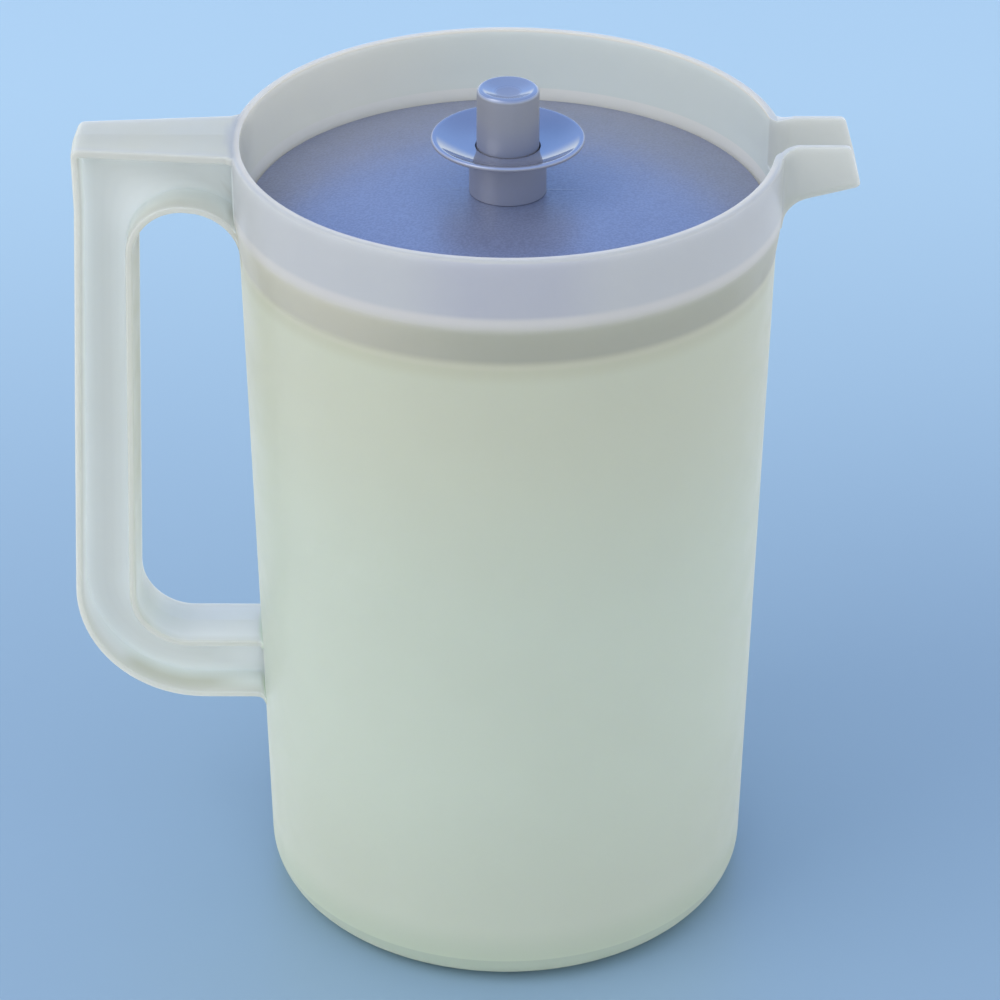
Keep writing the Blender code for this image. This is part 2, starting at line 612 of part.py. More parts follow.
def spout_channel():
    """Cutter for the open channel of the spout and its way through the collar."""
    fillet = SPOUT_SIDE_FILLET + SPOUT_WALL
    half_width = SPOUT_HALF_WIDTH - SPOUT_WALL
    tip = SPOUT_REACH + SPOUT_TIP_DEPTH
    slope = math.tan(SPOUT_FLOOR_ANGLE)
    lip_place = SPOUT_REACH + SPOUT_TIP_DEPTH * math.tan(SPOUT_END_ANGLE)
    lip_floor = SPOUT_TOP_HEIGHT - SPOUT_TIP_DEPTH + SPOUT_WALL
    rings = []
    for place, width, _ in spout_stations(COLLAR_BORE_RADIUS, half_width, fillet, tip):
        floor = lip_floor - (lip_place - place) * slope
        rings.append(spout_section(place, width, floor, RIM_HEIGHT + CUT_OVERRUN,
                                   SPOUT_FLOOR_ROUND, 0.0))
    return lofted("spout_channel", rings)


def make_jug(parts, cutters, material):
    """Jug moulded in one piece: hollow body with the handle and the spout."""
    jug = add_turned("jug", jug_outside(), JUG_SEGMENTS, parts, material)
    combine(jug, handle_blank(cutters), "UNION")
    combine(jug, as_cutter(add_object("spout", spout_outside(), cutters)), "UNION")
    hollow = add_turned("jug_hollow", jug_inside(), JUG_SEGMENTS, cutters)
    combine(jug, as_cutter(hollow), "DIFFERENCE")
    combine(jug, as_cutter(add_object("spout_channel", spout_channel(), cutters)), "DIFFERENCE")
    return jug


def dome_height(radius):
    """Height of the disc's upper face: flat at the neck, falling as a parabola to the lip."""
    share = (radius - DISC_FLAT_RADIUS) / (LIP_FOOT_RADIUS - DISC_SHOULDER_RUN - DISC_FLAT_RADIUS)
    return DISC_CROWN_HEIGHT - DISC_RISE * max(share, 0.0) ** 2


def dome_points(inner, outer, drop, steps):
    """Points of the dome from an inner to an outer radius, lowered by a drop."""
    points = []
    for k in range(steps + 1):
        radius = inner + (outer - inner) * k / steps
        points.append((radius, dome_height(radius) - drop))
    return points


def make_seal_disc(parts, material):
    """Flexible disc: flat seat at the middle, shallow dome, lip on the ledge, ribbed skirt."""
    edge = LIP_FOOT_RADIUS - DISC_SHOULDER_RUN
    points = [(DISC_HOLE_RADIUS, DISC_CROWN_HEIGHT)]
    points += dome_points(DISC_FLAT_RADIUS, edge, 0.0, DOME_STEPS)
    points.append((LIP_TOP_RADIUS - DISC_LIP_ROUND, LIP_TOP_HEIGHT))
    points.append((LIP_TOP_RADIUS - DISC_LIP_ROUND * LEDGE_SLOPE, LIP_TOP_HEIGHT - DISC_LIP_ROUND))
    points.append((LIP_FOOT_RADIUS, LEDGE_FOOT_HEIGHT))
    points.append((SKIRT_RADIUS, LEDGE_FOOT_HEIGHT - SKIRT_RELIEF))
    for share in SKIRT_RIB_SHARES:
        height = LIP_TOP_HEIGHT - SKIRT_DEPTH * share
        bore = body_radius(min(height, SHOULDER_FOOT_HEIGHT)) - WALL
        tip = min(bore, THROAT_RADIUS) - LEDGE_GAP
        points.append((SKIRT_RADIUS, height + SKIRT_RIB_HALF_HEIGHT))
        points.append((tip, height))
        points.append((SKIRT_RADIUS, height - SKIRT_RIB_HALF_HEIGHT))
    points.append((SKIRT_RADIUS, SKIRT_FOOT_HEIGHT))
    points.append((SKIRT_BORE_RADIUS, SKIRT_FOOT_HEIGHT))
    underside = dome_points(DISC_FLAT_RADIUS, SKIRT_BORE_RADIUS, DISC_THICKNESS, DOME_INNER_STEPS)
    points += reversed(underside)
    points.append((DISC_HOLE_RADIUS, DISC_CROWN_HEIGHT - DISC_THICKNESS))
    return add_turned("seal_disc", points, DISC_SEGMENTS, parts, material, closed=True)


def dish_points():
    """Upper face of the finger flange, a shallow bowl from the bore up to the lip."""
    outer = FLANGE_RADIUS - FLANGE_LIP_WIDTH
    points = []
    for k in range(DISH_STEPS + 1):
        share = k / DISH_STEPS
        radius = BUTTON_BORE_RADIUS + (outer - BUTTON_BORE_RADIUS) * share
        points.append((radius, DISH_FLOOR_HEIGHT + FLANGE_DISH_DEPTH * share ** 2))
    return points


def make_grip_collar(parts, material):
    """Neck and finger flange in one, with a barbed spigot that passes through the disc."""
    lip_foot = FLANGE_TOP_HEIGHT - FLANGE_LIP_THICKNESS
    outer_top = FLANGE_TOP_HEIGHT - FLANGE_LIP_ROUND
    points = [(STEM_GUIDE_RADIUS, BORE_FLOOR_HEIGHT), (BUTTON_BORE_RADIUS, BORE_FLOOR_HEIGHT)]
    points += dish_points()
    points.append((FLANGE_RADIUS - FLANGE_LIP_ROUND, FLANGE_TOP_HEIGHT))
    points.append((FLANGE_RADIUS, outer_top))
    points.append((FLANGE_RADIUS, lip_foot + FLANGE_LIP_ROUND))
    points.append((FLANGE_RADIUS - FLANGE_LIP_ROUND, lip_foot))
    for radius, height in reversed(dish_points()[1:-1]):
        points.append((radius, height - FLANGE_WEB))
    points.append((NECK_RADIUS, DISH_FLOOR_HEIGHT - FLANGE_WEB))
    points.append((NECK_RADIUS, NECK_BASE_HEIGHT))
    points.append((SPIGOT_RADIUS, NECK_BASE_HEIGHT))
    points.append((SPIGOT_RADIUS, BARB_TOP_HEIGHT))
    points.append((SPIGOT_RADIUS + SPIGOT_BARB, BARB_TOP_HEIGHT))
    points.append((SPIGOT_RADIUS, SPIGOT_FOOT_HEIGHT))
    points.append((STEM_GUIDE_RADIUS, SPIGOT_FOOT_HEIGHT))
    return add_turned("grip_collar", points, SMALL_SEGMENTS, parts, material, closed=True)


def make_retaining_ring(parts, material):
    """Ring snapped over the spigot's barb, below the disc."""
    bore = SPIGOT_RADIUS + SEAT_GAP
    outline = [
        (bore, RING_TOP_HEIGHT),
        (RING_RADIUS - RING_CHAMFER, RING_TOP_HEIGHT),
        (RING_RADIUS, RING_TOP_HEIGHT - RING_CHAMFER),
        (RING_RADIUS, RING_FOOT_HEIGHT + RING_CHAMFER),
        (RING_RADIUS - RING_CHAMFER, RING_FOOT_HEIGHT),
        (bore, RING_FOOT_HEIGHT),
    ]
    return add_turned("retaining_ring", outline, SMALL_SEGMENTS, parts, material, closed=True)


def make_push_button(parts, material):
    """Hollow cap with a dished top, a rounded edge and a socket for the stem."""
    edge_centre = (BUTTON_TOP_RADIUS - BUTTON_EDGE_ROUND, BUTTON_TOP_HEIGHT - BUTTON_EDGE_ROUND)
    dish_radius = BUTTON_TOP_RADIUS - BUTTON_EDGE_ROUND
    points = []
    for k in range(DISH_STEPS):
        share = k / DISH_STEPS
        points.append((dish_radius * share,
                       BUTTON_TOP_HEIGHT - BUTTON_DISH_DEPTH * (1.0 - share ** 2)))
    points += arc(edge_centre, BUTTON_EDGE_ROUND, math.pi / 2.0, 0.0, CORNER_STEPS)
    inner = BUTTON_RADIUS - BUTTON_WALL
    inner_top = BUTTON_TOP_RADIUS - BUTTON_WALL
    points.append((BUTTON_RADIUS, BUTTON_FOOT_HEIGHT))
    points.append((inner, BUTTON_FOOT_HEIGHT))
    points.append((inner_top, BUTTON_CEILING_HEIGHT))
    points.append((SOCKET_RADIUS, BUTTON_CEILING_HEIGHT))
    points.append((SOCKET_RADIUS, BUTTON_CEILING_HEIGHT - SOCKET_DEPTH))
    points.append((SOCKET_BORE_RADIUS, BUTTON_CEILING_HEIGHT - SOCKET_DEPTH))
    points.append((SOCKET_BORE_RADIUS, BUTTON_CEILING_HEIGHT))
    points.append((0.0, BUTTON_CEILING_HEIGHT))
    return add_turned("push_button", points, SMALL_SEGMENTS, parts, material)


def make_expander(parts, material):
    """Hollow stem with a shallow cone, whose rim spreads the disc's skirt."""
    cone_foot = CONE_EDGE_HEIGHT - CONE_WALL
    rim_foot = CONE_EDGE_HEIGHT - CONE_RIM_DEPTH
    points = [
        (0.0, STEM_TOP_HEIGHT),
        (STEM_RADIUS - STEM_CHAMFER, STEM_TOP_HEIGHT),
        (STEM_RADIUS, STEM_TOP_HEIGHT - STEM_CHAMFER),
        (STEM_RADIUS, HUB_TOP_HEIGHT),
        (HUB_RADIUS, HUB_TOP_HEIGHT),
        (CONE_RADIUS - CONE_WALL, CONE_EDGE_HEIGHT),
        (CONE_RADIUS, CONE_EDGE_HEIGHT - CONE_WALL / 2.0),
        (CONE_RADIUS, rim_foot),
        (CONE_RADIUS - CONE_WALL, rim_foot),
        (CONE_RADIUS - CONE_WALL, cone_foot),
        (HUB_RADIUS, HUB_TOP_HEIGHT - CONE_WALL),
        (STEM_BORE_RADIUS, HUB_TOP_HEIGHT - CONE_WALL),
        (STEM_BORE_RADIUS, STEM_TOP_HEIGHT - STEM_CROWN),
        (0.0, STEM_TOP_HEIGHT - STEM_CROWN),
    ]
    return add_turned("expander", points, CONE_SEGMENTS, parts, material)


def main():
    """Build the six mouldings of the pitcher."""
    parts, cutters = start_empty()
    milky = plastic("milky_plastic", MILKY_PLASTIC)
    make_jug(parts, cutters, milky)
    make_seal_disc(parts, plastic("disc_plastic", DISC_PLASTIC))
    make_grip_collar(parts, plastic("collar_plastic", COLLAR_PLASTIC))
    make_retaining_ring(parts, plastic("ring_plastic", INNER_PLASTIC))
    make_push_button(parts, plastic("button_plastic", BUTTON_PLASTIC))
    make_expander(parts, plastic("expander_plastic", INNER_PLASTIC))
    crisp = crisp_edges()
    for item in parts.objects:
        item.modifiers.new("crisp_edges", "NODES").node_group = crisp


main()
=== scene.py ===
from math import atan2, cos, hypot, pi, radians, sin, sqrt, tan, tau

import bmesh
import bpy
import numpy as np
from mathutils import Matrix, Vector


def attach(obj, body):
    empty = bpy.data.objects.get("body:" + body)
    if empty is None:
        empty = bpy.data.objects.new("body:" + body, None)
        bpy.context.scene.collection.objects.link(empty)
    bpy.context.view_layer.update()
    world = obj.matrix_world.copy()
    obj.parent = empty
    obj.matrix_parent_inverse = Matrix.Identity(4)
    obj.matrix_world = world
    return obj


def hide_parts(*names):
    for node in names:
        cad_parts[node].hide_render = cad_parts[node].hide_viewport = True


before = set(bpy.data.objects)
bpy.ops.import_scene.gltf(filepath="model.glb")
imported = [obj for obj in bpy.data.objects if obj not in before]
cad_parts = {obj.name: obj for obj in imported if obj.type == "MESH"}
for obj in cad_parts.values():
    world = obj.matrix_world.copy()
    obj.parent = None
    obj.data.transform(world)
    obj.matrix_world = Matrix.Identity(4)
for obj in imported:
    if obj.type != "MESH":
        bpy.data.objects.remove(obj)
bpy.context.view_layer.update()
mm = 0.001  # the sizes of shapes are in millimetres, those of materials, lights and camera in metres
mergeWithin = 0.0005  # points closer together than this become one
print("frame loaded")


def arcPoints(centre, radius, start, end, steps):
    # circle: centre + radius * (cos a, sin a), with a running evenly from start to end
    a = np.linspace(start, end, steps + 1)
    return np.stack([centre[0] + radius * np.cos(a), centre[1] + radius * np.sin(a)], axis=1)


def cornerArc(before, corner, after, radius, steps):
    # arc that touches both lines of a corner: its centre lies on the bisector,
    # radius / sin(half angle) away
    toBefore = (np.array(before) - corner) / np.linalg.norm(np.array(before) - corner)
    toAfter = (np.array(after) - corner) / np.linalg.norm(np.array(after) - corner)
    half = np.arccos(np.clip(toBefore @ toAfter, -1, 1)) / 2
    middle = (toBefore + toAfter) / np.linalg.norm(toBefore + toAfter)
    centre = np.array(corner) + middle * radius / sin(half)
    first = np.array(corner) + toBefore * radius / tan(half) - centre
    last = np.array(corner) + toAfter * radius / tan(half) - centre
    start = atan2(first[1], first[0])
    sweep = (atan2(last[1], last[0]) - start + pi) % tau - pi
    return arcPoints(centre, radius, start, start + sweep, steps)


def roundedPath(corners, closed, steps=5):
    # path through corners (x, y, radius), each turned into an arc where its radius isn't zero
    points, count = [], len(corners)
    for k, (x, y, radius) in enumerate(corners):
        if radius == 0 or (not closed and k in (0, count - 1)):
            points.append(np.array([[x, y]]))
        else:
            before, after = corners[k - 1], corners[(k + 1) % count]
            points.append(cornerArc(before[:2], (x, y), after[:2], radius, steps))
    return np.concatenate(points)


def divided(path, longest, closed=False):
    # long straight stretches get points between, no further apart than longest
    ends = np.roll(path, -1, axis=0) if closed else path[1:]
    pieces = []
    for a, b in zip(path, ends):
        steps = max(int(np.ceil(np.linalg.norm(b - a) / longest)), 1)
        pieces.append(a + (b - a) * (np.arange(steps) / steps)[:, None])
    if not closed:
        pieces.append(path[-1:])
    return np.concatenate(pieces)


def gridMesh(name, grid, closeRows, closeColumns, caps=False):
    # a grid of rows x columns points becomes a surface:
    # each point is joined to the next in its row and in its column
    rows, columns = grid.shape[:2]
    index = np.arange(rows * columns).reshape(rows, columns)
    index = np.concatenate([index, index[:1]]) if closeRows else index
    index = np.concatenate([index, index[:, :1]], axis=1) if closeColumns else index
    quads = np.stack([index[:-1, :-1], index[:-1, 1:], index[1:, 1:], index[1:, :-1]], axis=-1)
    faces = quads.reshape(-1, 4).tolist()
    if caps:
        faces += [index[0, :columns][::-1].tolist(), index[rows - 1, :columns].tolist()]
    mesh = bpy.data.meshes.new(name)
    mesh.from_pydata((grid.reshape(-1, 3) * mm).tolist(), [], faces)
    build = bmesh.new()
    build.from_mesh(mesh)
    bmesh.ops.remove_doubles(build, verts=build.verts, dist=mergeWithin * mm)
    bmesh.ops.recalc_face_normals(build, faces=build.faces)
    build.to_mesh(mesh)
    build.free()
    return mesh


def spunMesh(name, outline, steps, closed):
    # surface of revolution: (r, z) of the outline and the angle t give (r cos t, r sin t, z)
    turn = np.arange(steps) * tau / steps
    radius, height = outline[:, :1], outline[:, 1:]
    grid = np.stack([radius * np.cos(turn), radius * np.sin(turn), height + 0 * turn], axis=-1)
    return gridMesh(name, grid, closed, True)


def newObject(name, mesh):
    piece = bpy.data.objects.new(name, mesh)
    bpy.context.scene.collection.objects.link(piece)
    return piece


def finishPiece(piece, node, body, material, sharp=32):
    mesh = piece.data
    mesh.shade_smooth()
    mesh.set_sharp_from_angle(angle=radians(sharp))
    mesh.materials.clear()
    mesh.materials.append(material)
    weigh = piece.modifiers.new("evenShading", "WEIGHTED_NORMAL")
    weigh.keep_sharp = True
    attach(piece, body)
    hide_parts(node)


def linear(red, green, blue):
    # screen colour (0 to 255) to the linear value of the shaders: ((c + 0.055) / 1.055) ^ 2.4
    c = np.array([red, green, blue]) / 255
    lin = np.where(c <= 0.04045, c / 12.92, ((c + 0.055) / 1.055) ** 2.4)
    return (float(lin[0]), float(lin[1]), float(lin[2]), 1.0)


def link(tree, source, target):
    if isinstance(source, bpy.types.NodeSocket):
        tree.links.new(source, target)
    else:
        target.default_value = source


def mathNode(tree, operation, first, second=None):
    node = tree.nodes.new("ShaderNodeMath")
    node.operation = operation
    link(tree, first, node.inputs[0])
    if second is not None:
        link(tree, second, node.inputs[1])
    return node.outputs[0]


def noiseNode(tree, vector, scale):
    node = tree.nodes.new("ShaderNodeTexNoise")
    link(tree, vector, node.inputs["Vector"])
    node.inputs["Scale"].default_value = scale
    node.inputs["Detail"].default_value = 3.0
    return node.outputs["Fac"]


def ramp(tree, value, low, high, toLow=0.0, toHigh=1.0):
    # goes smoothly from toLow to toHigh while the value goes from low to high, and holds both ends
    node = tree.nodes.new("ShaderNodeMapRange")
    node.interpolation_type = "SMOOTHSTEP"
    link(tree, value, node.inputs["Value"])
    for key, number in (("From Min", low), ("From Max", high), ("To Min", toLow), ("To Max", toHigh)):
        node.inputs[key].default_value = number
    return node.outputs["Result"]


def patches(tree, vector, scale, low, high):
    # soft patches between two values, from the middle of the noise's range
    return ramp(tree, noiseNode(tree, vector, scale), 0.3, 0.7, low, high)


def mixColour(tree, share, first, second):
    # sockets 0, 6 and 7 of this node are the share and both colours, and its output 2 is a colour
    node = tree.nodes.new("ShaderNodeMix")
    node.data_type = "RGBA"
    link(tree, share, node.inputs[0])
    link(tree, first, node.inputs[6])
    link(tree, second, node.inputs[7])
    return node.outputs[2]


def separate(tree, vector):
    node = tree.nodes.new("ShaderNodeSeparateXYZ")
    tree.links.new(vector, node.inputs[0])
    return node.outputs


def distanceFromAxis(tree, x, y):
    # square root of x * x + y * y
    square = mathNode(tree, "MULTIPLY", x, x)
    return mathNode(tree, "SQRT", mathNode(tree, "ADD", square, mathNode(tree, "MULTIPLY", y, y)))


def addBump(tree, shader, height, depth, strength):
    node = tree.nodes.new("ShaderNodeBump")
    node.inputs["Strength"].default_value = strength
    node.inputs["Distance"].default_value = depth
    tree.links.new(height, node.inputs["Height"])
    tree.links.new(node.outputs["Normal"], shader.inputs["Normal"])
    tree.links.new(node.outputs["Normal"], shader.inputs["Coat Normal"])


def newMaterial(name):
    material = bpy.data.materials.new(name)
    material.use_nodes = True
    tree = material.node_tree
    where = tree.nodes.new("ShaderNodeTexCoord").outputs["Object"]
    return material, tree, tree.nodes["Principled BSDF"], where


# the jug's shell: round body with a collar and a sealing ledge
body = {
    "rimHeight": 257.0, "rimRadius": 81.7, "rimEdge": 0.9, "rimInnerEdge": 0.3, "rimWall": 2.7,
    "collarFoot": 235.4, "collarFootRound": 5.0, "shoulderFoot": 223.6, "shoulderFootRound": 4.0,
    "topRadius": 80.2, "footRadius": 76.8, "baseCorner": 11.5, "wall": 2.4, "floor": 2.8,
    "ledgeFoot": 233.0, "ledgeRise": 4.2, "clear": 8.0, "segments": 256, "longest": 9.0,
    "baseSteps": 16, "innerBaseSteps": 12, "roundSteps": 6, "rimSteps": 4,
}


def bodyRadius(height):
    share = (height - body["baseCorner"]) / (body["shoulderFoot"] - body["baseCorner"])
    return body["footRadius"] + (body["topRadius"] - body["footRadius"]) * share


def outsideOutline():
    b = body
    base = b["baseCorner"]
    low = arcPoints((b["footRadius"] - base, base), base, 0, -pi / 2, b["baseSteps"])
    top = roundedPath([
        (0, b["rimHeight"], 0), (b["rimRadius"], b["rimHeight"], b["rimEdge"]),
        (b["rimRadius"], b["collarFoot"], b["collarFootRound"]),
        (b["topRadius"], b["shoulderFoot"], b["shoulderFootRound"]),
        (bodyRadius(base), base, 0),
    ], False, b["roundSteps"])
    return divided(np.concatenate([top[:-1], low, [[0, 0]]]), b["longest"])


def insideOutline():
    b = body
    bore = b["rimRadius"] - b["rimWall"]
    edge, above = b["rimInnerEdge"], b["rimHeight"] + b["clear"]
    throat = b["topRadius"] - b["wall"]
    inner = b["baseCorner"] - b["wall"]
    foot = bodyRadius(b["floor"] + inner) - b["wall"]
    rim = arcPoints((bore + edge, b["rimHeight"] - edge), edge, pi / 2, pi, b["rimSteps"])
    ledge = [[bore, b["ledgeFoot"] + b["ledgeRise"]], [throat, b["ledgeFoot"]]]
    below = [[bodyRadius(b["shoulderFoot"]) - b["wall"], b["shoulderFoot"]]]
    low = arcPoints((foot - inner, b["floor"] + inner), inner, 0, -pi / 2, b["innerBaseSteps"])
    top, floor = [[0, above], [bore + edge, above]], [[0, b["floor"]]]
    return divided(np.concatenate([top, rim, ledge, below, low, floor]), b["longest"])


# the handle: an I-section between an outer line and a finger hole
handle = {
    "top": 256.9, "reach": 127.2, "lean": 3.15, "lipFlare": 1.0, "lipRun": 20.0, "bottom": 64.6,
    "topCorner": 2.6, "bend": 39.0, "rootRound": 4.0, "topDepth": 17.55, "bottomDepth": 19.2,
    "halfWidth": 11.3, "armOuterHalf": 10.3, "armRootHalf": 14.7, "flareStart": 160.0, "flareEnd": 222.0,
    "holeTop": 237.8, "holeBottom": 86.2, "arch": 15.9, "heel": 16.5, "archSpring": 219.0, "embed": 1.6,
    "gripFlange": 2.1, "topFlange": 2.7, "lowerFlange": 2.2, "holeFlange": 2.0, "web": 2.8,
    "outerDraft": 2.2, "crown": 0.187, "holeDraft": 4.0, "gripDraft": 2.0, "armDraft": 10.0,
    "rootDepth": 8.8, "armMiddle": 31.0, "springRise": 2.9, "wallTurn": 9.0, "wallRun": 8.0,
    "edgeRound": 0.6, "innerEdge": 0.4, "webFillet": 0.7, "wallFillet": 2.0, "rootShade": 16.0,
    "webShade": 0.8, "leastCorner": 0.8, "roundSteps": 4, "faceShares": (0, 0.35, 0.7),
    "webShares": (0.2, 0.4, 0.6, 0.8),
}


def gripLine(height):
    # outer face of the grip: a leaning line, flared to a small lip near the top
    h = handle
    below = h["top"] - height
    flare = h["lipFlare"] * max(1 - below / h["lipRun"], 0)
    return -(h["reach"] + below * tan(radians(h["lean"])) + flare)


def evenly(start, end, steps):
    # steps points from start, without the end
    return np.array(start) + (np.array(end) - np.array(start)) * (np.arange(steps) / steps)[:, None]


# how many points each stretch of both lines has, from the top arm's root round to the lower arm's
stretch = {
    "root": 2, "topA": 10, "topB": 8, "corner": 6, "side": 8, "lip": 3, "grip": 26, "bend": 20,
    "arm": 12, "foot": 5,
}


def outerLine(inset, topInset, bottomInset):
    # from the top arm's root over the corner, down the grip, round the bend and back to the wall
    h, n = handle, stretch
    top, bottom = h["top"] - topInset, h["bottom"] + bottomInset
    root, bore = -(body["footRadius"] - h["rootDepth"]), -(body["rimRadius"] - body["rimWall"])
    lip = h["top"] - h["lipRun"]
    wall = -(bodyRadius(bottom) - h["embed"])
    cornerAt, lipAt = (gripLine(top) + inset, top), (gripLine(lip) + inset, lip)
    bendAt = (gripLine(bottom) + inset, bottom)
    topRound = max(h["topCorner"] - inset, h["leastCorner"])
    corner = cornerArc((root, top), cornerAt, lipAt, topRound, n["corner"])
    bend = cornerArc(lipAt, bendAt, (wall, bottom), h["bend"] - inset, n["bend"])
    foot = cornerArc(bendAt, (wall, bottom), (wall, bottom - h["wallTurn"]), h["rootRound"], n["foot"])
    middle = -(h["reach"] - h["armMiddle"])
    spring = h["archSpring"] + h["springRise"]
    springAt = gripLine(spring) + inset
    return np.concatenate([
        evenly((root, top), (bore, top), n["root"]), evenly((bore, top), (middle, top), n["topA"]),
        evenly((middle, top), corner[0], n["topB"]), corner[:-1],
        evenly(corner[-1], lipAt, n["side"]), evenly(lipAt, (springAt, spring), n["lip"]),
        evenly((springAt, spring), bend[0], n["grip"]), bend[:-1],
        evenly(bend[-1], foot[0], n["arm"]), foot,
        [(foot[-1][0], bottom - h["wallRun"]), (root, bottom - h["wallRun"])],
    ])


def holeLine(growth):
    # the finger hole's outline, walked in the same order with as many points
    h, n = handle, stretch
    top, bottom = h["holeTop"] + growth, h["holeBottom"] - growth
    root = -(body["footRadius"] - h["rootDepth"])
    right = -(body["topRadius"] - h["embed"]) + growth
    upper = gripLine(h["holeTop"]) + h["topDepth"] - growth
    lower = gripLine(h["holeBottom"]) + h["bottomDepth"] - growth
    arch, heel = h["arch"] + growth, h["heel"] + growth
    one = cornerArc((right, h["archSpring"]), (right, top), (upper, top), arch, n["topA"])
    beside = n["topB"] + n["corner"] + n["side"] + n["lip"]
    two = cornerArc((right, top), (upper, top), (lower, bottom), arch, beside)
    three = cornerArc((upper, top), (lower, bottom), (root, bottom), heel, n["bend"])
    wall = -(bodyRadius(bottom) - h["embed"])
    return np.concatenate([
        evenly((root, h["archSpring"]), (right, h["archSpring"]), n["root"]),
        one[:-1], two[:-1], evenly(two[-1], three[0], n["grip"]), three[:-1],
        evenly(three[-1], (wall - h["rootRound"], bottom), n["arm"]),
        evenly((wall - h["rootRound"], bottom), (wall, bottom), n["foot"]),
        [(wall, bottom), (wall + 1, bottom), (root, bottom)],
    ])


def halfWidthAt(place, height):
    # even down the grip; the top arm goes straight from its outer to its wider root half width
    h = handle
    share = np.clip((height - h["flareStart"]) / (h["flareEnd"] - h["flareStart"]), 0, 1)
    share = share * share * (3 - 2 * share)
    run = (place + h["reach"]) / (h["reach"] - body["rimRadius"])
    flared = h["armOuterHalf"] + (h["armRootHalf"] - h["armOuterHalf"]) * run
    return h["halfWidth"] + (flared - h["halfWidth"]) * share


def handleGrid():
    # rows follow both lines side by side; columns go round the I-section: over the outer face,
    # down one side, in along a flange, across the web, out along the hole's flange, over the
    # hole's face and back on the other side
    h = handle
    w, web, r, ri, rf = h["halfWidth"], h["web"] / 2, h["edgeRound"], h["innerEdge"], h["webFillet"]
    outward, hole = tan(radians(h["outerDraft"])), tan(radians(h["holeDraft"]))
    grip, arm = tan(radians(h["gripDraft"])), tan(radians(h["armDraft"]))
    quarter = np.linspace(0, pi / 2, h["roundSteps"] + 1)
    columns = []  # its line, distance from the middle, share of the flare, how deep in the recess, which sets its painted light

    # how deep a column lies in the recess, which sets how much painted light lifts its shade
    def depth(y):
        return min(max((w - y) / (w - web), 0), 1)

    def outer(y, extra, share):
        # falls away on both sides of a crease along the middle
        i = y * outward - h["crown"] + extra
        columns.append((outerLine(i, i, i), y, share, 0))

    def flange(y, extra, share):
        s = (w - y) * grip
        low = h["lowerFlange"] + (w - y) * arm
        line = outerLine(h["gripFlange"] + s + extra, h["topFlange"] + s + extra, low + extra)
        upright = np.clip((line[:, 1] - h["holeBottom"]) / h["bend"], 0, 1)
        columns.append((line, y, share, depth(y) ** (3 - 2 * upright)))

    def innerFlange(y, extra, share):
        columns.append((holeLine(h["holeFlange"] + (w - y) * grip + extra), y, share, depth(y)))

    def holeFace(y, extra, share):
        columns.append((holeLine((y - w) * hole + extra), y, share, 0))

    for share in h["faceShares"]:
        outer(w * share, 0, share)
    for a in quarter:
        outer(w - r + r * sin(a), r * (1 - cos(a)), 1)
    for a in quarter:
        flange(w - ri + ri * cos(a), -ri + ri * sin(a), 1)
    flange((w + web) / 2, 0, 0.5)
    for a in quarter:
        flange(web + rf * (1 - sin(a)), rf * (1 - cos(a)), 0)
    edge, far = columns[-1][0], holeLine(h["holeFlange"] + (w - web) * grip + rf)
    # the web's columns get painted light towards the flanges, which lifts the shade there
    for share in h["webShares"]:
        columns.append((edge + (far - edge) * share, web, 0, h["webShade"] * abs(2 * share - 1) ** 1.5))
    for a in quarter[::-1]:
        innerFlange(web + rf * (1 - sin(a)), rf * (1 - cos(a)), 0)
    innerFlange((w + web) / 2, 0, 0.5)
    for a in quarter[::-1]:
        innerFlange(w - ri + ri * cos(a), -ri + ri * sin(a), 1)
    for a in quarter[::-1]:
        holeFace(w - r + r * sin(a), r * (1 - cos(a)), 1)
    for share in h["faceShares"][::-1]:
        holeFace(w * share, 0, share)
    # the handle widens into the wall by a fillet: radius minus the root of radius ^ 2 - nearness ^ 2
    lines = np.stack([c[0] for c in columns], axis=1)
    y = np.array([c[1] for c in columns])
    share = np.array([c[2] for c in columns])
    wide = halfWidthAt(lines[..., 0], lines[..., 1])
    beyond = np.where(lines[..., 1] > body["collarFoot"], body["rimRadius"], bodyRadius(lines[..., 1]))
    gap = np.hypot(lines[..., 0], wide) - beyond
    near = np.clip(h["wallFillet"] - gap, 0, h["wallFillet"])
    fillet = h["wallFillet"] - np.sqrt(h["wallFillet"] ** 2 - near ** 2)
    across = y + (wide - w + fillet) * share
    half = np.stack([lines[..., 0], across, lines[..., 1]], axis=-1)
    other = half[:, -2:0:-1] * np.array([1, -1, 1])
    recessLift = np.stack([c[3] + np.zeros(len(lines)) for c in columns], axis=1)
    # painted light also lifts the shade near the wall, where the handle's root meets it
    near = np.clip(1 + (lines[..., 0] + body["rimRadius"]) / h["rootShade"], 0, 1)
    recessLift = np.maximum(recessLift, h["webShade"] * near * (recessLift > 0))
    return np.concatenate([half, other], axis=1), np.concatenate([recessLift, recessLift[:, -2:0:-1]], axis=1)


# the spout: an open channel that falls towards its lip
spout = {
    "reach": 100.0, "halfWidth": 11.1, "wall": 1.8, "lift": 1.8, "tipDepth": 13.6, "fall": 16.9,
    "floorFall": 12.5, "endLean": 16.0, "sideFillet": 5.0, "sink": 0.08, "underFillet": 9.0,
    "corner": 3.0, "floorCorner": 1.5, "tipRound": 1.5, "tipUnderRound": 1.3, "edge": 0.45,
    "embed": 5.0, "open": 6.0, "filletSteps": 12, "sideSteps": 10, "tipSteps": 6, "cornerSteps": 6,
    "edgeSteps": 4,
}


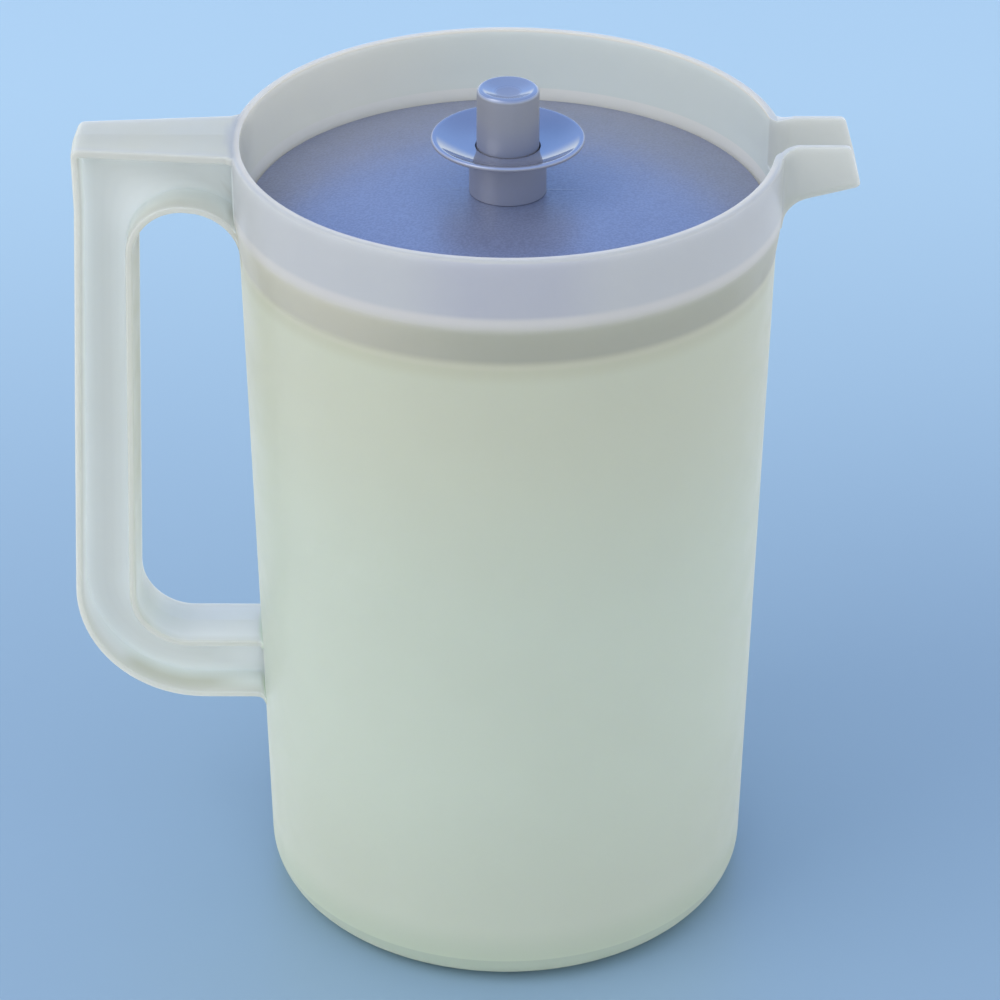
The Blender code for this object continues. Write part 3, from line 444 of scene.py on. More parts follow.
def spoutStations(wallRadius, halfWidth, fillet, tip):
    # a circle of the fillet's radius touches the round wall and the spout's side,
    # and from there the side runs straight
    s = spout
    centre = sqrt((wallRadius + fillet) ** 2 - (halfWidth + fillet) ** 2)
    start = centre * wallRadius / (wallRadius + fillet)
    angle = np.linspace(np.arccos((centre - start) / fillet), pi / 2, s["filletSteps"] + 1)
    place = centre - fillet * np.cos(angle)
    wide = halfWidth + fillet - fillet * np.sin(angle)
    lift = s["lift"] * np.linspace(0, 1, s["filletSteps"] + 1)
    further = centre + (tip - centre) * np.linspace(0, 1, s["sideSteps"] + 1)[1:]
    ones = np.ones(s["sideSteps"])
    return (np.concatenate([[start - s["embed"]], place, further]),
            np.concatenate([wide[:1], wide, halfWidth * ones]),
            np.concatenate([[0], lift, s["lift"] * ones]))


def spoutUnderside(place):
    # a falling line, swept into the wall by a circle that touches both
    s = spout
    fall = radians(s["fall"])
    tip = body["rimHeight"] + s["lift"] - s["tipDepth"]
    centre = sqrt(body["rimRadius"] ** 2 - s["halfWidth"] ** 2) + s["underFillet"]
    line = tip - (s["reach"] - place) * tan(fall)
    middle = tip - (s["reach"] - centre) * tan(fall) - s["underFillet"] / cos(fall)
    reach = np.clip(centre - place, 0, s["underFillet"])
    curve = middle + np.sqrt(s["underFillet"] ** 2 - reach ** 2)
    return np.where(place >= centre - s["underFillet"] * sin(fall), line, curve)


def spoutSection(place, wide, bottom, top, corner, edge, lean, flare):
    # U-shaped outline with round lower corners; its upper edges are rounded off,
    # or flared where it cuts a channel
    s = spout
    path = [(0, bottom, 0), (wide, bottom, corner), (wide, top, 0)]
    right = roundedPath(path, False, s["cornerSteps"])[:-1]
    a = np.linspace(0, pi / 2, s["edgeSteps"] + 1)
    if flare:
        rim = np.stack([wide + edge * (1 - np.cos(a)), top - edge + edge * np.sin(a)], axis=1)
        rim = np.concatenate([rim, [[wide + edge, top + s["open"]]]])
    else:
        rim = np.stack([wide - edge * (1 - np.cos(a)), top - edge + edge * np.sin(a)], axis=1)
    right = np.concatenate([right, rim])
    outline = np.concatenate([right, right[:0:-1] * np.array([-1, 1])])
    high = body["rimHeight"] + s["lift"]
    return np.stack([place + (high - outline[:, 1]) * lean, outline[:, 0], outline[:, 1]], axis=1)


def spoutOutside():
    # sections one behind the other from inside the wall to the lip, which leans out towards its foot
    s, rim, count = spout, body["rimRadius"], spout["tipSteps"]
    high = body["rimHeight"] + s["lift"]
    straight = s["reach"] - s["tipRound"]
    places, widths, lifts = spoutStations(rim - s["sink"], s["halfWidth"], s["sideFillet"], straight)
    tip = arcPoints((straight, high - s["tipRound"]), s["tipRound"], pi / 2, 0, count)[1:]
    places = np.concatenate([places, tip[:, 0]])
    widths = np.concatenate([widths, np.full(count, s["halfWidth"])])
    tops = np.concatenate([body["rimHeight"] + lifts, tip[:, 1]])
    bottoms = spoutUnderside(places)
    bottoms[-count:] += (high - tip[:, 1]) * s["tipUnderRound"] / s["tipRound"]
    lean = tan(radians(s["endLean"])) * np.clip((places - rim) / (s["reach"] - rim), 0, 1)
    return np.stack([spoutSection(p, w, f, t, s["corner"], s["edge"], k, False)
                     for p, w, f, t, k in zip(places, widths, bottoms, tops, lean)])


def spoutChannel():
    # what is cut out of the spout and the wall behind it, open at the top and past the lip
    s = spout
    high = body["rimHeight"] + s["lift"]
    bore = body["rimRadius"] - body["rimWall"]
    places, widths, lifts = spoutStations(bore, s["halfWidth"] - s["wall"], s["sideFillet"] + s["wall"],
                                          s["reach"] + s["tipDepth"])
    lipPlace = s["reach"] + s["tipDepth"] * tan(radians(s["endLean"]))
    floors = high - s["tipDepth"] + s["wall"] - (lipPlace - places) * tan(radians(s["floorFall"]))
    tops = body["rimHeight"] + lifts
    return np.stack([spoutSection(p, w, f, t, s["floorCorner"], s["edge"], 0, True)
                     for p, w, f, t in zip(places, widths, floors, tops)])


def combine(base, tool, operation):
    step = base.modifiers.new(tool.name, "BOOLEAN")
    step.operation = operation
    step.solver = "EXACT"
    step.object = tool


def makeJug():
    # body, handle and spout are joined, then the hollow and the spout's channel are cut out
    shell = newObject("jugShell", spunMesh("jugShell", outsideOutline(), body["segments"], False))
    grid, recessLift = handleGrid()
    steps = (
        (gridMesh("handleBlank", grid, False, True, True), "UNION"),
        (gridMesh("spoutBlank", spoutOutside(), False, True, True), "UNION"),
        (spunMesh("hollow", insideOutline(), body["segments"], False), "DIFFERENCE"),
        (gridMesh("channel", spoutChannel(), False, True, True), "DIFFERENCE"),
    )
    tools = [newObject(mesh.name, mesh) for mesh, operation in steps]
    for tool, (mesh, operation) in zip(tools, steps):
        combine(shell, tool, operation)
    ready = shell.evaluated_get(bpy.context.evaluated_depsgraph_get())
    mesh = bpy.data.meshes.new_from_object(ready)
    shell.modifiers.clear()
    shell.data = mesh
    for tool in tools:
        bpy.data.objects.remove(tool)
    markZones(mesh, grid, recessLift)
    return shell


def readArray(items, key, width, kind=np.float32):
    values = np.empty(len(items) * width, kind)
    items.foreach_get(key, values)
    return values.reshape(-1, width)


def carriedOver(points, source, values):
    # each point that is also among the source points gets the value from there, and any other gets zero
    both = np.concatenate([points, (source.reshape(-1, 3) * mm).astype(np.float32)])
    places, inverse = np.unique(both, axis=0, return_inverse=True)
    inverse = inverse.reshape(-1)
    table = np.zeros(len(places))
    np.maximum.at(table, inverse[len(points):], values.reshape(-1))
    return table[inverse[:len(points)]]


# where the colour zones start and end beside the wall, the spout and the handle's edges, web and root,
# and how strong the root's painted light is
zones = {
    "offStart": 0.2, "offRun": 1.2, "spoutMargin": 9.0, "spoutRun": 12.0, "collarLead": 1.0,
    "collarRun": 4.0, "boreMargin": 0.1, "edgeWidth": 1.1, "edgeRun": 0.7, "webMargin": 0.5,
    "rootBelow": 9.0, "rootTopMargin": 0.3, "rootFootMargin": 0.6, "rootHoleMargin": 1.0,
    "rootSide": 0.5, "rootBand": 0.4, "rootShade": 0.8, "creaseOffRim": 0.5, "creaseOffWall": 1.5,
    "creaseHalf": 0.01,
}


def markZones(mesh, grid, recessLift):
    # each point says how far it is off the round wall, how close to an edge of the handle,
    # if it is on the web, and how much painted light it gets by how deep it lies in the recess beside
    # the web
    b, h, s = body, handle, zones
    points = readArray(mesh.vertices, "co", 3)
    x, y, z = points.T / mm
    reach, side, wide = np.hypot(x, y), np.abs(y), halfWidthAt(x, z)
    rise = (b["rimRadius"] - b["topRadius"]) * (z - b["shoulderFoot"])
    slant = b["topRadius"] + rise / (b["collarFoot"] - b["shoulderFoot"])
    wall = np.clip(slant, bodyRadius(np.minimum(z, b["shoulderFoot"])), b["rimRadius"])
    off = np.clip((reach - wall - s["offStart"]) / s["offRun"], 0, 1)
    # the spout's colour fades out over the collar beside it
    besideSpout = spout["halfWidth"] + spout["sideFillet"] + s["spoutMargin"] - side
    onCollar = np.clip((z - b["collarFoot"] + s["collarLead"]) / s["collarRun"], 0, 1)
    onCollar = onCollar * (reach > b["rimRadius"] - b["rimWall"] + s["boreMargin"])
    off = np.maximum(off, np.clip(besideSpout / s["spoutRun"], 0, 1) * (x > 0) * onCollar)
    grip = off * (x < 0)
    near = np.clip((side - wide + s["edgeWidth"]) / s["edgeRun"], 0, 1)
    facing = np.abs(readArray(mesh.vertex_normals, "vector", 3)[:, 1])
    web = (side < h["web"] / 2 + s["webMargin"]) * np.clip(facing * 2 - 0.6, 0, 1)
    # the recess's painted light also takes in the points where the handle meets the wall, lifting the
    # shade in those corners
    upper = (z > h["holeTop"] - s["rootBelow"]) & (z < h["top"] - h["topFlange"] - s["rootTopMargin"])
    lower = z > h["bottom"] + h["lowerFlange"] + s["rootFootMargin"]
    lower &= z < h["holeBottom"] - s["rootHoleMargin"]
    root = (x < 0) & (side < wide + s["rootSide"]) & (np.abs(reach - wall) < s["rootBand"])
    root &= upper | lower
    recessLight = np.maximum(grip * carriedOver(points, grid, recessLift), s["rootShade"] * root)
    layers = {"offWall": off, "edgeOfHandle": grip * near, "webOfHandle": grip * web, "recessLight": recessLight}
    for name, values in layers.items():
        mesh.attributes.new(name, "FLOAT", "POINT").data.foreach_set("value", values.astype(np.float32))


def sharpenCrease(mesh):
    # the two halves of the handle's faces meet in a fine line along the middle
    x, y, z = readArray(mesh.vertices, "co", 3).T / mm
    ends = readArray(mesh.edges, "vertices", 2, np.int32)
    reach, low = np.hypot(x, y), z < body["shoulderFoot"]
    clear = reach > body["rimRadius"] + zones["creaseOffRim"]
    clear |= low & (reach > bodyRadius(z) + zones["creaseOffWall"])
    onLine = (np.abs(y) < zones["creaseHalf"]) & (x < 0) & clear
    sharp = readArray(mesh.edges, "use_edge_sharp", 1, bool)[:, 0] | onLine[ends].all(axis=1)
    mesh.edges.foreach_set("use_edge_sharp", sharp)


jugLook = {  # colours as the screen shows them
    # painted light and shade among these: the shoulder, ridge and collar with their left and front
    # tones, the inner left and ledge, the rim, the lower arm, web, recess and top edge
    "footBand": (171, 186, 170), "footEdge": (186, 200, 179), "bodyFoot": (199, 210, 190),
    "body": (204, 219, 197), "bodyTop": (203, 209, 185), "underShoulder": (197, 200, 175),
    "foot": (200, 201, 178), "shoulder": (166, 167, 154), "shoulderLitLeft": (184, 182, 167),
    "ridgeHighlight": (191, 189, 187), "collar": (175, 177, 180), "collarShadedFront": (165, 167, 177),
    "rim": (196, 191, 177), "rimOuter": (166, 167, 166), "inner": (192, 198, 193),
    "innerLitLeft": (202, 202, 192), "ledge": (205, 204, 198), "handle": (186, 186, 172),
    "lowArm": (211, 214, 213), "spout": (177, 180, 175), "edge": (186, 187, 180),
    "shadedTopEdge": (177, 178, 172), "web": (202, 207, 205), "recessLight": (228, 235, 233),
    "roughness": 0.34, "glow": 0.011, "coat": 0.1, "coatRoughness": 0.15, "gloss": 0.4,
    "cloudScale": 14.0, "cloud": 0.12, "patchScale": 70.0, "grainScale": 1100.0, "grain": 0.2,
    "depth": 0.00004,
    # heights between which the colour goes over to the named one, and where the other zones start
    # and end
    "bands": (
        (0.0098, 0.0102, "footEdge"), (0.0102, 0.0240, "bodyFoot"), (0.0240, 0.0800, "body"),
        (0.1300, 0.2100, "bodyTop"), (0.2165, 0.2212, "underShoulder"), (0.2215, 0.2224, "foot"),
        (0.2226, 0.2256, "shoulder"), (0.2334, 0.2376, "ridgeHighlight"), (0.2380, 0.2400, "collar"),
    ),
    "leftRun": (-0.055, 0.0), "frontRun": (0.008, 0.034), "frontDepth": (-0.01, 0.0),
    "ledgeTop": (0.2372, 0.2376), "innerReach": (0.0808, 0.0804), "innerFoot": (0.2320, 0.2325),
    "rimReach": (0.0798, 0.0813), "rimTop": (0.2560, 0.2566), "lowArmFoot": (0.074, 0.080),
    "lowArmTop": (0.100, 0.150), "spoutRun": (0.0, 0.01), "topEdgeRun": (0.250, 0.2555),
}


def setSockets(shader, values):
    for key, value in values.items():
        shader.inputs[key].default_value = value


def zone(tree, name):
    node = tree.nodes.new("ShaderNodeAttribute")
    node.attribute_name = name
    return node.outputs["Fac"]


def milkyPlastic(look):
    # colour by height on the round body, with painted light and shade in places; the handle and the
    # spout have their own, with their thin edges and the web set apart
    material, tree, shader, spot = newMaterial("milkyPlastic")
    x, y, z = separate(tree, spot)
    reach = distanceFromAxis(tree, x, y)

    def tone(name):
        return linear(*look[name])

    # painted light: lighter on the left, where the lamp shines from
    left = ramp(tree, x, *look["leftRun"], 1.0, 0.0)
    # painted shade: the collar is darker towards its front
    front = ramp(tree, mathNode(tree, "ABSOLUTE", x), *look["frontRun"], 1.0, 0.0)
    front = mathNode(tree, "MULTIPLY", front, ramp(tree, y, *look["frontDepth"], 1.0, 0.0))
    there = {name: tone(name) for _, _, name in look["bands"]}
    # painted shadow: the shoulder band is darker where the seal's skirt stands behind the wall, and
    # painted light makes it lighter on the left
    there["shoulder"] = mixColour(tree, left, tone("shoulder"), tone("shoulderLitLeft"))
    # painted shade with a blue cast: the collar is darker where the seal stands behind it, darkest at
    # the front
    there["collar"] = mixColour(tree, front, tone("collar"), tone("collarShadedFront"))
    colour = tone("footBand")
    # among these bands the ridge is a painted highlight where the sealing ledge meets the wall inside
    for low, high, name in look["bands"]:
        colour = mixColour(tree, ramp(tree, z, low, high), colour, there[name])
    # painted light: the inside wall is lighter on the left, and the sealing ledge's slope is painted
    # lighter still
    inner = mixColour(tree, left, tone("inner"), tone("innerLitLeft"))
    inner = mixColour(tree, ramp(tree, z, *look["ledgeTop"]), tone("ledge"), inner)
    inside = mathNode(tree, "MULTIPLY", ramp(tree, reach, *look["innerReach"]),
                      ramp(tree, z, *look["innerFoot"]))
    colour = mixColour(tree, inside, colour, inner)
    # painted highlight on the rim's top, with painted shade darkening its outer round
    rim = mixColour(tree, ramp(tree, reach, *look["rimReach"]), tone("rim"), tone("rimOuter"))
    colour = mixColour(tree, ramp(tree, z, *look["rimTop"]), colour, rim)
    # painted light: the lower arm's upper face is lighter and bluer, standing in for the sky's light and
    # reflection on it
    low = mathNode(tree, "MULTIPLY", ramp(tree, z, *look["lowArmFoot"]),
                   ramp(tree, z, *look["lowArmTop"], 1.0, 0.0))
    arms = mixColour(tree, low, tone("handle"), tone("lowArm"))
    arms = mixColour(tree, ramp(tree, x, *look["spoutRun"]), arms, tone("spout"))
    colour = mixColour(tree, zone(tree, "offWall"), colour, arms)
    # painted light: the web and the recess beside it are lighter, lifting the shade between the flanges
    # and at the handle's roots
    colour = mixColour(tree, zone(tree, "webOfHandle"), colour, tone("web"))
    colour = mixColour(tree, zone(tree, "recessLight"), colour, tone("recessLight"))
    # painted shade: the edges along the top arm are darker, against the light that falls on them from
    # above
    edges = mixColour(tree, ramp(tree, z, *look["topEdgeRun"]), tone("edge"), tone("shadedTopEdge"))
    colour = mixColour(tree, zone(tree, "edgeOfHandle"), colour, edges)
    cloud = patches(tree, spot, look["cloudScale"], 0.0, look["cloud"])
    colour = mixColour(tree, cloud, colour, tone("handle"))
    tree.links.new(colour, shader.inputs["Base Color"])
    setSockets(shader, {
        "Subsurface Weight": 1.0, "Subsurface Radius": (1.0, 1.0, 1.0),
        "Subsurface Scale": look["glow"], "Specular IOR Level": look["gloss"],
        "Coat Weight": look["coat"], "Coat Roughness": look["coatRoughness"],
    })
    rough = look["roughness"]
    uneven = patches(tree, spot, look["patchScale"], rough - 0.05, rough + 0.07)
    tree.links.new(uneven, shader.inputs["Roughness"])
    addBump(tree, shader, noiseNode(tree, spot, look["grainScale"]), look["depth"], look["grain"])
    return material


jug = makeJug()
finishPiece(jug, "jug", "jug", milkyPlastic(jugLook), 30)
sharpenCrease(jug.data)
print("jug made:", len(jug.data.polygons), "faces")


# the seal is a disc, its grip collar and the ring that holds it; the button drives a stem with a cone
disc = {
    "segments": 192, "thickness": 1.6, "rise": 5.6, "lipHeight": 0.9, "lipRound": 0.35,
    "flatMargin": 1.2, "shoulderRun": 0.8, "skirtDepth": 10.6, "skirtWall": 1.3, "skirtRelief": 0.6,
    "ribHalf": 0.7, "ribShares": (0.36, 0.74), "tipBack": 0.05, "tipHalf": 0.1, "footRound": 0.3,
    "ledgeRound": 0.2, "steps": 28, "underSteps": 20, "roundSteps": 3, "gap": 0.3,
}
collar = {
    "segments": 128, "neckRadius": 11.5, "neckFloor": 1.7, "bore": 9.62, "boreRound": 0.2,
    "flangeRadius": 22.7, "flangeTop": 257.1, "lipWidth": 1.2, "lipThickness": 1.4, "dishDepth": 3.0,
    "web": 1.5, "lipRound": 0.6, "lipInside": 1.4, "neckMargin": 1.0, "neckRound": 0.8,
    "neckFootRound": 0.1, "spigotRadius": 7.4, "barb": 0.9, "barbLength": 0.9, "guide": 5.3, "sag": 0.2,
    "steps": 22, "boreSteps": 4, "lipSteps": 6, "neckSteps": 5,
}
ring = {
    "segments": 96, "radius": 12.5, "thickness": 1.6, "chamfer": 0.4, "boreRound": 0.2, "roundSteps": 4,
}
button = {
    "segments": 128, "top": 272.5, "radius": 9.3, "topRadius": 9.2, "edge": 1.4, "dish": 1.7,
    "wall": 1.6, "crown": 2.0, "travel": 8.0, "footClearance": 0.4, "footRound": 0.3,
    "ceilingRound": 0.6, "socketWall": 1.5, "socketDepth": 11.0, "socketRound": 0.4,
    "socketFootRound": 0.2, "steps": 18, "edgeSteps": 10, "roundSteps": 4,
}
stem = {
    "segments": 160, "radius": 4.9, "bore": 3.3, "chamfer": 0.6, "crown": 2.5, "hubOverlap": 1.6,
    "wall": 1.5, "fall": 3.6, "rimDepth": 4.2, "rimClearance": 0.5, "hubRound": 1.0, "coneRound": 2.0,
    "coneEdgeRound": 0.5, "rimRound": 0.3, "crownRound": 0.5, "roundSteps": 4,
}

# heights and radii that follow from these sizes
throat = body["topRadius"] - body["wall"]
ledgeSlope = (body["rimRadius"] - body["rimWall"] - throat) / body["ledgeRise"]
ledgeGap = disc["gap"] * hypot(1, ledgeSlope)
lipTop = body["ledgeFoot"] + disc["lipHeight"]
lipTopRadius = throat + disc["lipHeight"] * ledgeSlope - ledgeGap
lipFootRadius = throat - ledgeGap
skirtRadius = lipFootRadius - disc["skirtRelief"]
skirtFoot = lipTop - disc["skirtDepth"]
skirtBore = skirtRadius - disc["skirtWall"]
crownHeight = lipTop + disc["rise"]
flatRadius = collar["neckRadius"] + disc["flatMargin"]
neckBase = crownHeight + disc["gap"]
boreFloor = neckBase + collar["neckFloor"]
dishFloor = collar["flangeTop"] - collar["dishDepth"]
ringTop = crownHeight - disc["thickness"] - disc["gap"]
barbTop = ringTop - ring["thickness"] - disc["gap"]
spigotFoot = barbTop - collar["barbLength"]
buttonFoot = boreFloor + button["travel"] + button["footClearance"]
ceiling = button["top"] - button["dish"] - button["crown"]
hubTop = spigotFoot - disc["gap"]
coneEdge = hubTop - stem["fall"]
coneRadius = skirtBore - stem["rimClearance"]


def domePoints(inner, outer, drop, steps):
    # crown height minus the rise times the square of the way from the flat middle to the lip
    radius = np.linspace(inner, outer, steps + 1)
    share = np.clip((radius - flatRadius) / (lipFootRadius - disc["shoulderRun"] - flatRadius), 0, None)
    return np.stack([radius, crownHeight - disc["rise"] * share ** 2 - drop], axis=1)


def discOutline():
    # over the dome to the lip on the ledge, down the ribbed skirt and back under the dome
    d = disc
    hole = collar["spigotRadius"] + d["gap"]
    upper = domePoints(flatRadius, lipFootRadius - d["shoulderRun"], 0, d["steps"])
    lip = roundedPath([
        tuple(upper[-1]) + (0,), (lipTopRadius, lipTop, d["lipRound"]),
        (lipFootRadius, body["ledgeFoot"], d["ledgeRound"]),
        (skirtRadius, body["ledgeFoot"] - d["skirtRelief"], 0),
    ], False, d["roundSteps"])[1:]
    ribs = []
    for share in d["ribShares"]:
        height = lipTop - d["skirtDepth"] * share
        tip = min(bodyRadius(min(height, body["shoulderFoot"])) - body["wall"], throat) - ledgeGap
        back, half = tip - d["tipBack"], d["tipHalf"]
        ribs += [(skirtRadius, height + d["ribHalf"]), (back, height + half), (tip, height),
                 (back, height - half), (skirtRadius, height - d["ribHalf"])]
    edge, steps = d["footRound"], d["roundSteps"]
    outerFoot = arcPoints((skirtRadius - edge, skirtFoot + edge), edge, 0, -pi / 2, steps)
    innerFoot = arcPoints((skirtBore + edge, skirtFoot + edge), edge, -pi / 2, -pi, steps)
    under = domePoints(flatRadius, skirtBore, d["thickness"], d["underSteps"])[::-1]
    return np.concatenate([[[hole, crownHeight]], upper, lip, ribs, outerFoot, innerFoot, under,
                           [[hole, crownHeight - d["thickness"]]]])


def dishPoints(inner, drop):
    # the finger flange's bowl: dish depth times the square of the way out
    c = collar
    outer = c["flangeRadius"] - c["lipWidth"]
    radius = np.linspace(inner, outer, c["steps"] + 1)
    share = (radius - c["bore"]) / (outer - c["bore"])
    return np.stack([radius, dishFloor + c["dishDepth"] * share ** 2 - drop], axis=1)


def collarOutline():
    # out over the dished flange, back under it, down the neck, and the barbed spigot with its bore
    c = collar
    lipFoot = c["flangeTop"] - c["lipThickness"]
    edge = c["boreRound"]
    top = dishPoints(c["bore"] + edge, 0)
    bore = arcPoints((c["bore"] + edge, top[0][1] - edge), edge, pi, pi / 2, c["boreSteps"])
    flange = c["flangeRadius"]
    lip = roundedPath([tuple(top[-1]) + (0,), (flange, c["flangeTop"], c["lipRound"]),
                       (flange, lipFoot, c["lipRound"]), (flange - c["lipInside"], lipFoot, 0)],
                      False, c["lipSteps"])[1:-1]
    under = dishPoints(c["neckRadius"] + c["neckMargin"], c["web"])[-2:0:-1]
    neckFoot, spigot = neckBase - c["sag"], c["spigotRadius"]
    neck = roundedPath([tuple(under[-1]) + (0,), (c["neckRadius"], dishFloor - c["web"], c["neckRound"]),
                        (c["neckRadius"], neckFoot, c["neckFootRound"]), (spigot, neckFoot, 0)],
                       False, c["neckSteps"])[1:]
    rest = [(spigot, barbTop), (spigot + c["barb"], barbTop), (spigot, spigotFoot),
            (c["guide"], spigotFoot), (c["guide"], boreFloor), (c["bore"], boreFloor)]
    return np.concatenate([bore, top[1:], lip, under, neck, rest])


def ringOutline():
    bore, outer, corner = collar["spigotRadius"] + disc["gap"], ring["radius"], ring["chamfer"]
    foot, edge = ringTop - ring["thickness"], ring["boreRound"]
    return roundedPath([(bore, ringTop, edge), (outer, ringTop, corner), (outer, foot, corner),
                        (bore, foot, edge)], True, ring["roundSteps"])


def buttonOutline():
    # shallow bowl on top, rounded edge, then down the side and up inside round the stem's socket
    b = button
    dishRadius = b["topRadius"] - b["edge"]
    share = np.linspace(0, 1, b["steps"] + 1)
    bowl = np.stack([dishRadius * share, b["top"] - b["dish"] * (1 - share ** 2)], axis=1)
    edge = arcPoints((dishRadius, b["top"] - b["edge"]), b["edge"], pi / 2, 0, b["edgeSteps"])
    inner = stem["radius"] + disc["gap"]
    outer = inner + b["socketWall"]
    socketFoot = ceiling - b["socketDepth"]
    side = roundedPath([
        (b["topRadius"], b["top"] - b["edge"], 0), (b["radius"], buttonFoot, b["footRound"]),
        (b["radius"] - b["wall"], buttonFoot, b["footRound"]),
        (b["topRadius"] - b["wall"], ceiling, b["ceilingRound"]), (outer, ceiling, b["socketRound"]),
        (outer, socketFoot, b["socketFootRound"]), (inner, socketFoot, b["socketFootRound"]),
        (inner, ceiling, 0), (0, ceiling, 0),
    ], False, b["roundSteps"])
    return np.concatenate([bowl[:-1], edge, side[1:]])


def stemOutline():
    # hollow stem with a hub that spreads to a shallow cone and its rim
    s = stem
    top, rimFoot = ceiling - disc["gap"], coneEdge - s["rimDepth"]
    hub = collar["spigotRadius"] + s["hubOverlap"]
    inner, hubFoot, crownFoot = coneRadius - s["wall"], hubTop - s["wall"], top - s["crown"]
    return roundedPath([
        (0, top, 0), (s["radius"], top, s["chamfer"]), (s["radius"], hubTop, 0),
        (hub, hubTop, s["hubRound"]), (inner, coneEdge, s["coneRound"]),
        (coneRadius, coneEdge - s["wall"] / 2, s["coneEdgeRound"]), (coneRadius, rimFoot, s["rimRound"]),
        (inner, rimFoot, s["rimRound"]), (inner, coneEdge - s["wall"], s["coneEdgeRound"]),
        (hub, hubFoot, s["hubRound"]), (s["bore"], hubFoot, 0), (s["bore"], crownFoot, s["crownRound"]),
        (0, crownFoot, 0),
    ], False, s["roundSteps"])


# the side's colour and roughness hold below a height and beyond a distance from the axis
glossyLook = {
    "roughness": 0.06, "index": 2.2, "gloss": 0.85, "coat": 0.0, "coatRoughness": 0.05,
    "cloud": 0.07, "speckle": 0.02, "grainScale": 1400.0, "depth": 0.00002, "flowLine": False,
}
sealLook = {
    "disc": {
        "colour": (121, 128, 156), "side": (121, 128, 156), "sideBelow": 0.0, "sideBeyond": 1.0,
        "roughness": 0.38, "sideRoughness": 0.38, "index": 1.5, "gloss": 1.0, "coat": 0.8,
        "coatRoughness": 0.36, "cloud": 0.04, "speckle": 0.24, "grainScale": 1300.0, "grain": 0.8,
        "depth": 0.0001, "flowLine": True,
    },
    # the grip collar's neck and underside are painted lighter than its dish, as painted light from
    # reflections in the flange's shade
    "collar": {
        **glossyLook, "colour": (112, 113, 127), "side": (140, 140, 153), "sideBelow": 0.2528,
        "sideBeyond": 0.0224, "sideRoughness": 0.33, "grain": 0.03,
    },
    "button": {
        **glossyLook, "colour": (130, 134, 146), "side": (126, 125, 133), "sideBelow": 0.2714,
        "sideBeyond": 0.0090, "sideRoughness": 0.45, "grain": 0.04,
    },
    "inside": {
        "colour": (116, 121, 149), "side": (116, 121, 149), "sideBelow": 0.0, "sideBeyond": 1.0,
        "roughness": 0.40, "sideRoughness": 0.40, "index": 1.5, "gloss": 0.5, "coat": 0.0,
        "coatRoughness": 0.05, "cloud": 0.07, "speckle": 0.03, "grainScale": 1400.0, "grain": 0.15,
        "depth": 0.00003, "flowLine": False,
    },
}
bluePattern = {  # what the blue pieces' plastic has in common
    "sideEdge": 0.0004, "cloudScale": 40.0, "patchScale": 160.0, "lineWidth": 0.0006, "lineHeight": 0.7,
    "lineRun": (0.014, 0.034),
}


def bluePlastic(name, look):
    # glossy above a height and satin on the sides below it, with a slow cloud, fine speckles and grain
    pattern = bluePattern
    material, tree, shader, spot = newMaterial(name)
    x, y, z = separate(tree, spot)
    reach = distanceFromAxis(tree, x, y)
    below, beyond, edge = look["sideBelow"], look["sideBeyond"], pattern["sideEdge"]
    above = mathNode(tree, "MULTIPLY", ramp(tree, z, below - edge, below),
                     ramp(tree, reach, beyond - edge, beyond, 1.0, 0.0))
    # the sides take their own colour; on the grip collar it is painted light
    base = mixColour(tree, above, linear(*look["side"]), linear(*look["colour"]))
    cloud = patches(tree, spot, pattern["cloudScale"], 0.0, look["cloud"])
    grain = noiseNode(tree, spot, look["grainScale"])
    speckle = ramp(tree, grain, 0.35, 0.65, 0.0, look["speckle"])
    darker = mathNode(tree, "ADD", cloud, speckle)
    tree.links.new(mixColour(tree, darker, base, (0.0, 0.0, 0.0, 1.0)), shader.inputs["Base Color"])
    satin = mathNode(tree, "SUBTRACT", 1.0, above)
    satin = mathNode(tree, "MULTIPLY", satin, look["sideRoughness"] - look["roughness"])
    rough = look["roughness"]
    uneven = patches(tree, spot, pattern["patchScale"], rough * 0.95, rough * 1.08)
    tree.links.new(mathNode(tree, "ADD", uneven, satin), shader.inputs["Roughness"])
    height = grain
    if look["flowLine"]:
        # a faint flow line of the moulding runs out from the neck on both sides
        line = mathNode(tree, "ABSOLUTE", y)
        line = ramp(tree, line, 0.0, pattern["lineWidth"], pattern["lineHeight"], 0.0)
        line = mathNode(tree, "MULTIPLY", line, ramp(tree, reach, *pattern["lineRun"], 1.0, 0.0))
        height = mathNode(tree, "ADD", grain, line)
    addBump(tree, shader, height, look["depth"], look["grain"])
    setSockets(shader, {
        "IOR": look["index"], "Specular IOR Level": look["gloss"],
        "Coat Weight": look["coat"], "Coat Roughness": look["coatRoughness"],
    })
    return material


longestSpun = 6.0  # straight stretches of these outlines are cut into pieces no longer than this
for name, node, riding, outline, settings, closed, look in (
    ("sealDiscSkin", "seal_disc", "seal", discOutline(), disc, True, "disc"),
    ("gripCollarSkin", "grip_collar", "seal", collarOutline(), collar, True, "collar"),
    ("retainingRingSkin", "retaining_ring", "seal", ringOutline(), ring, True, "inside"),
    ("pushButtonSkin", "push_button", "button", buttonOutline(), button, False, "button"),
    ("expanderSkin", "expander", "button", stemOutline(), stem, False, "inside"),
):
    outline = divided(outline, longestSpun, closed)
    piece = newObject(name, spunMesh(name, outline, settings["segments"], closed))
    finishPiece(piece, node, riding, bluePlastic(name + "Plastic", sealLook[look]))
print("seal and button made")


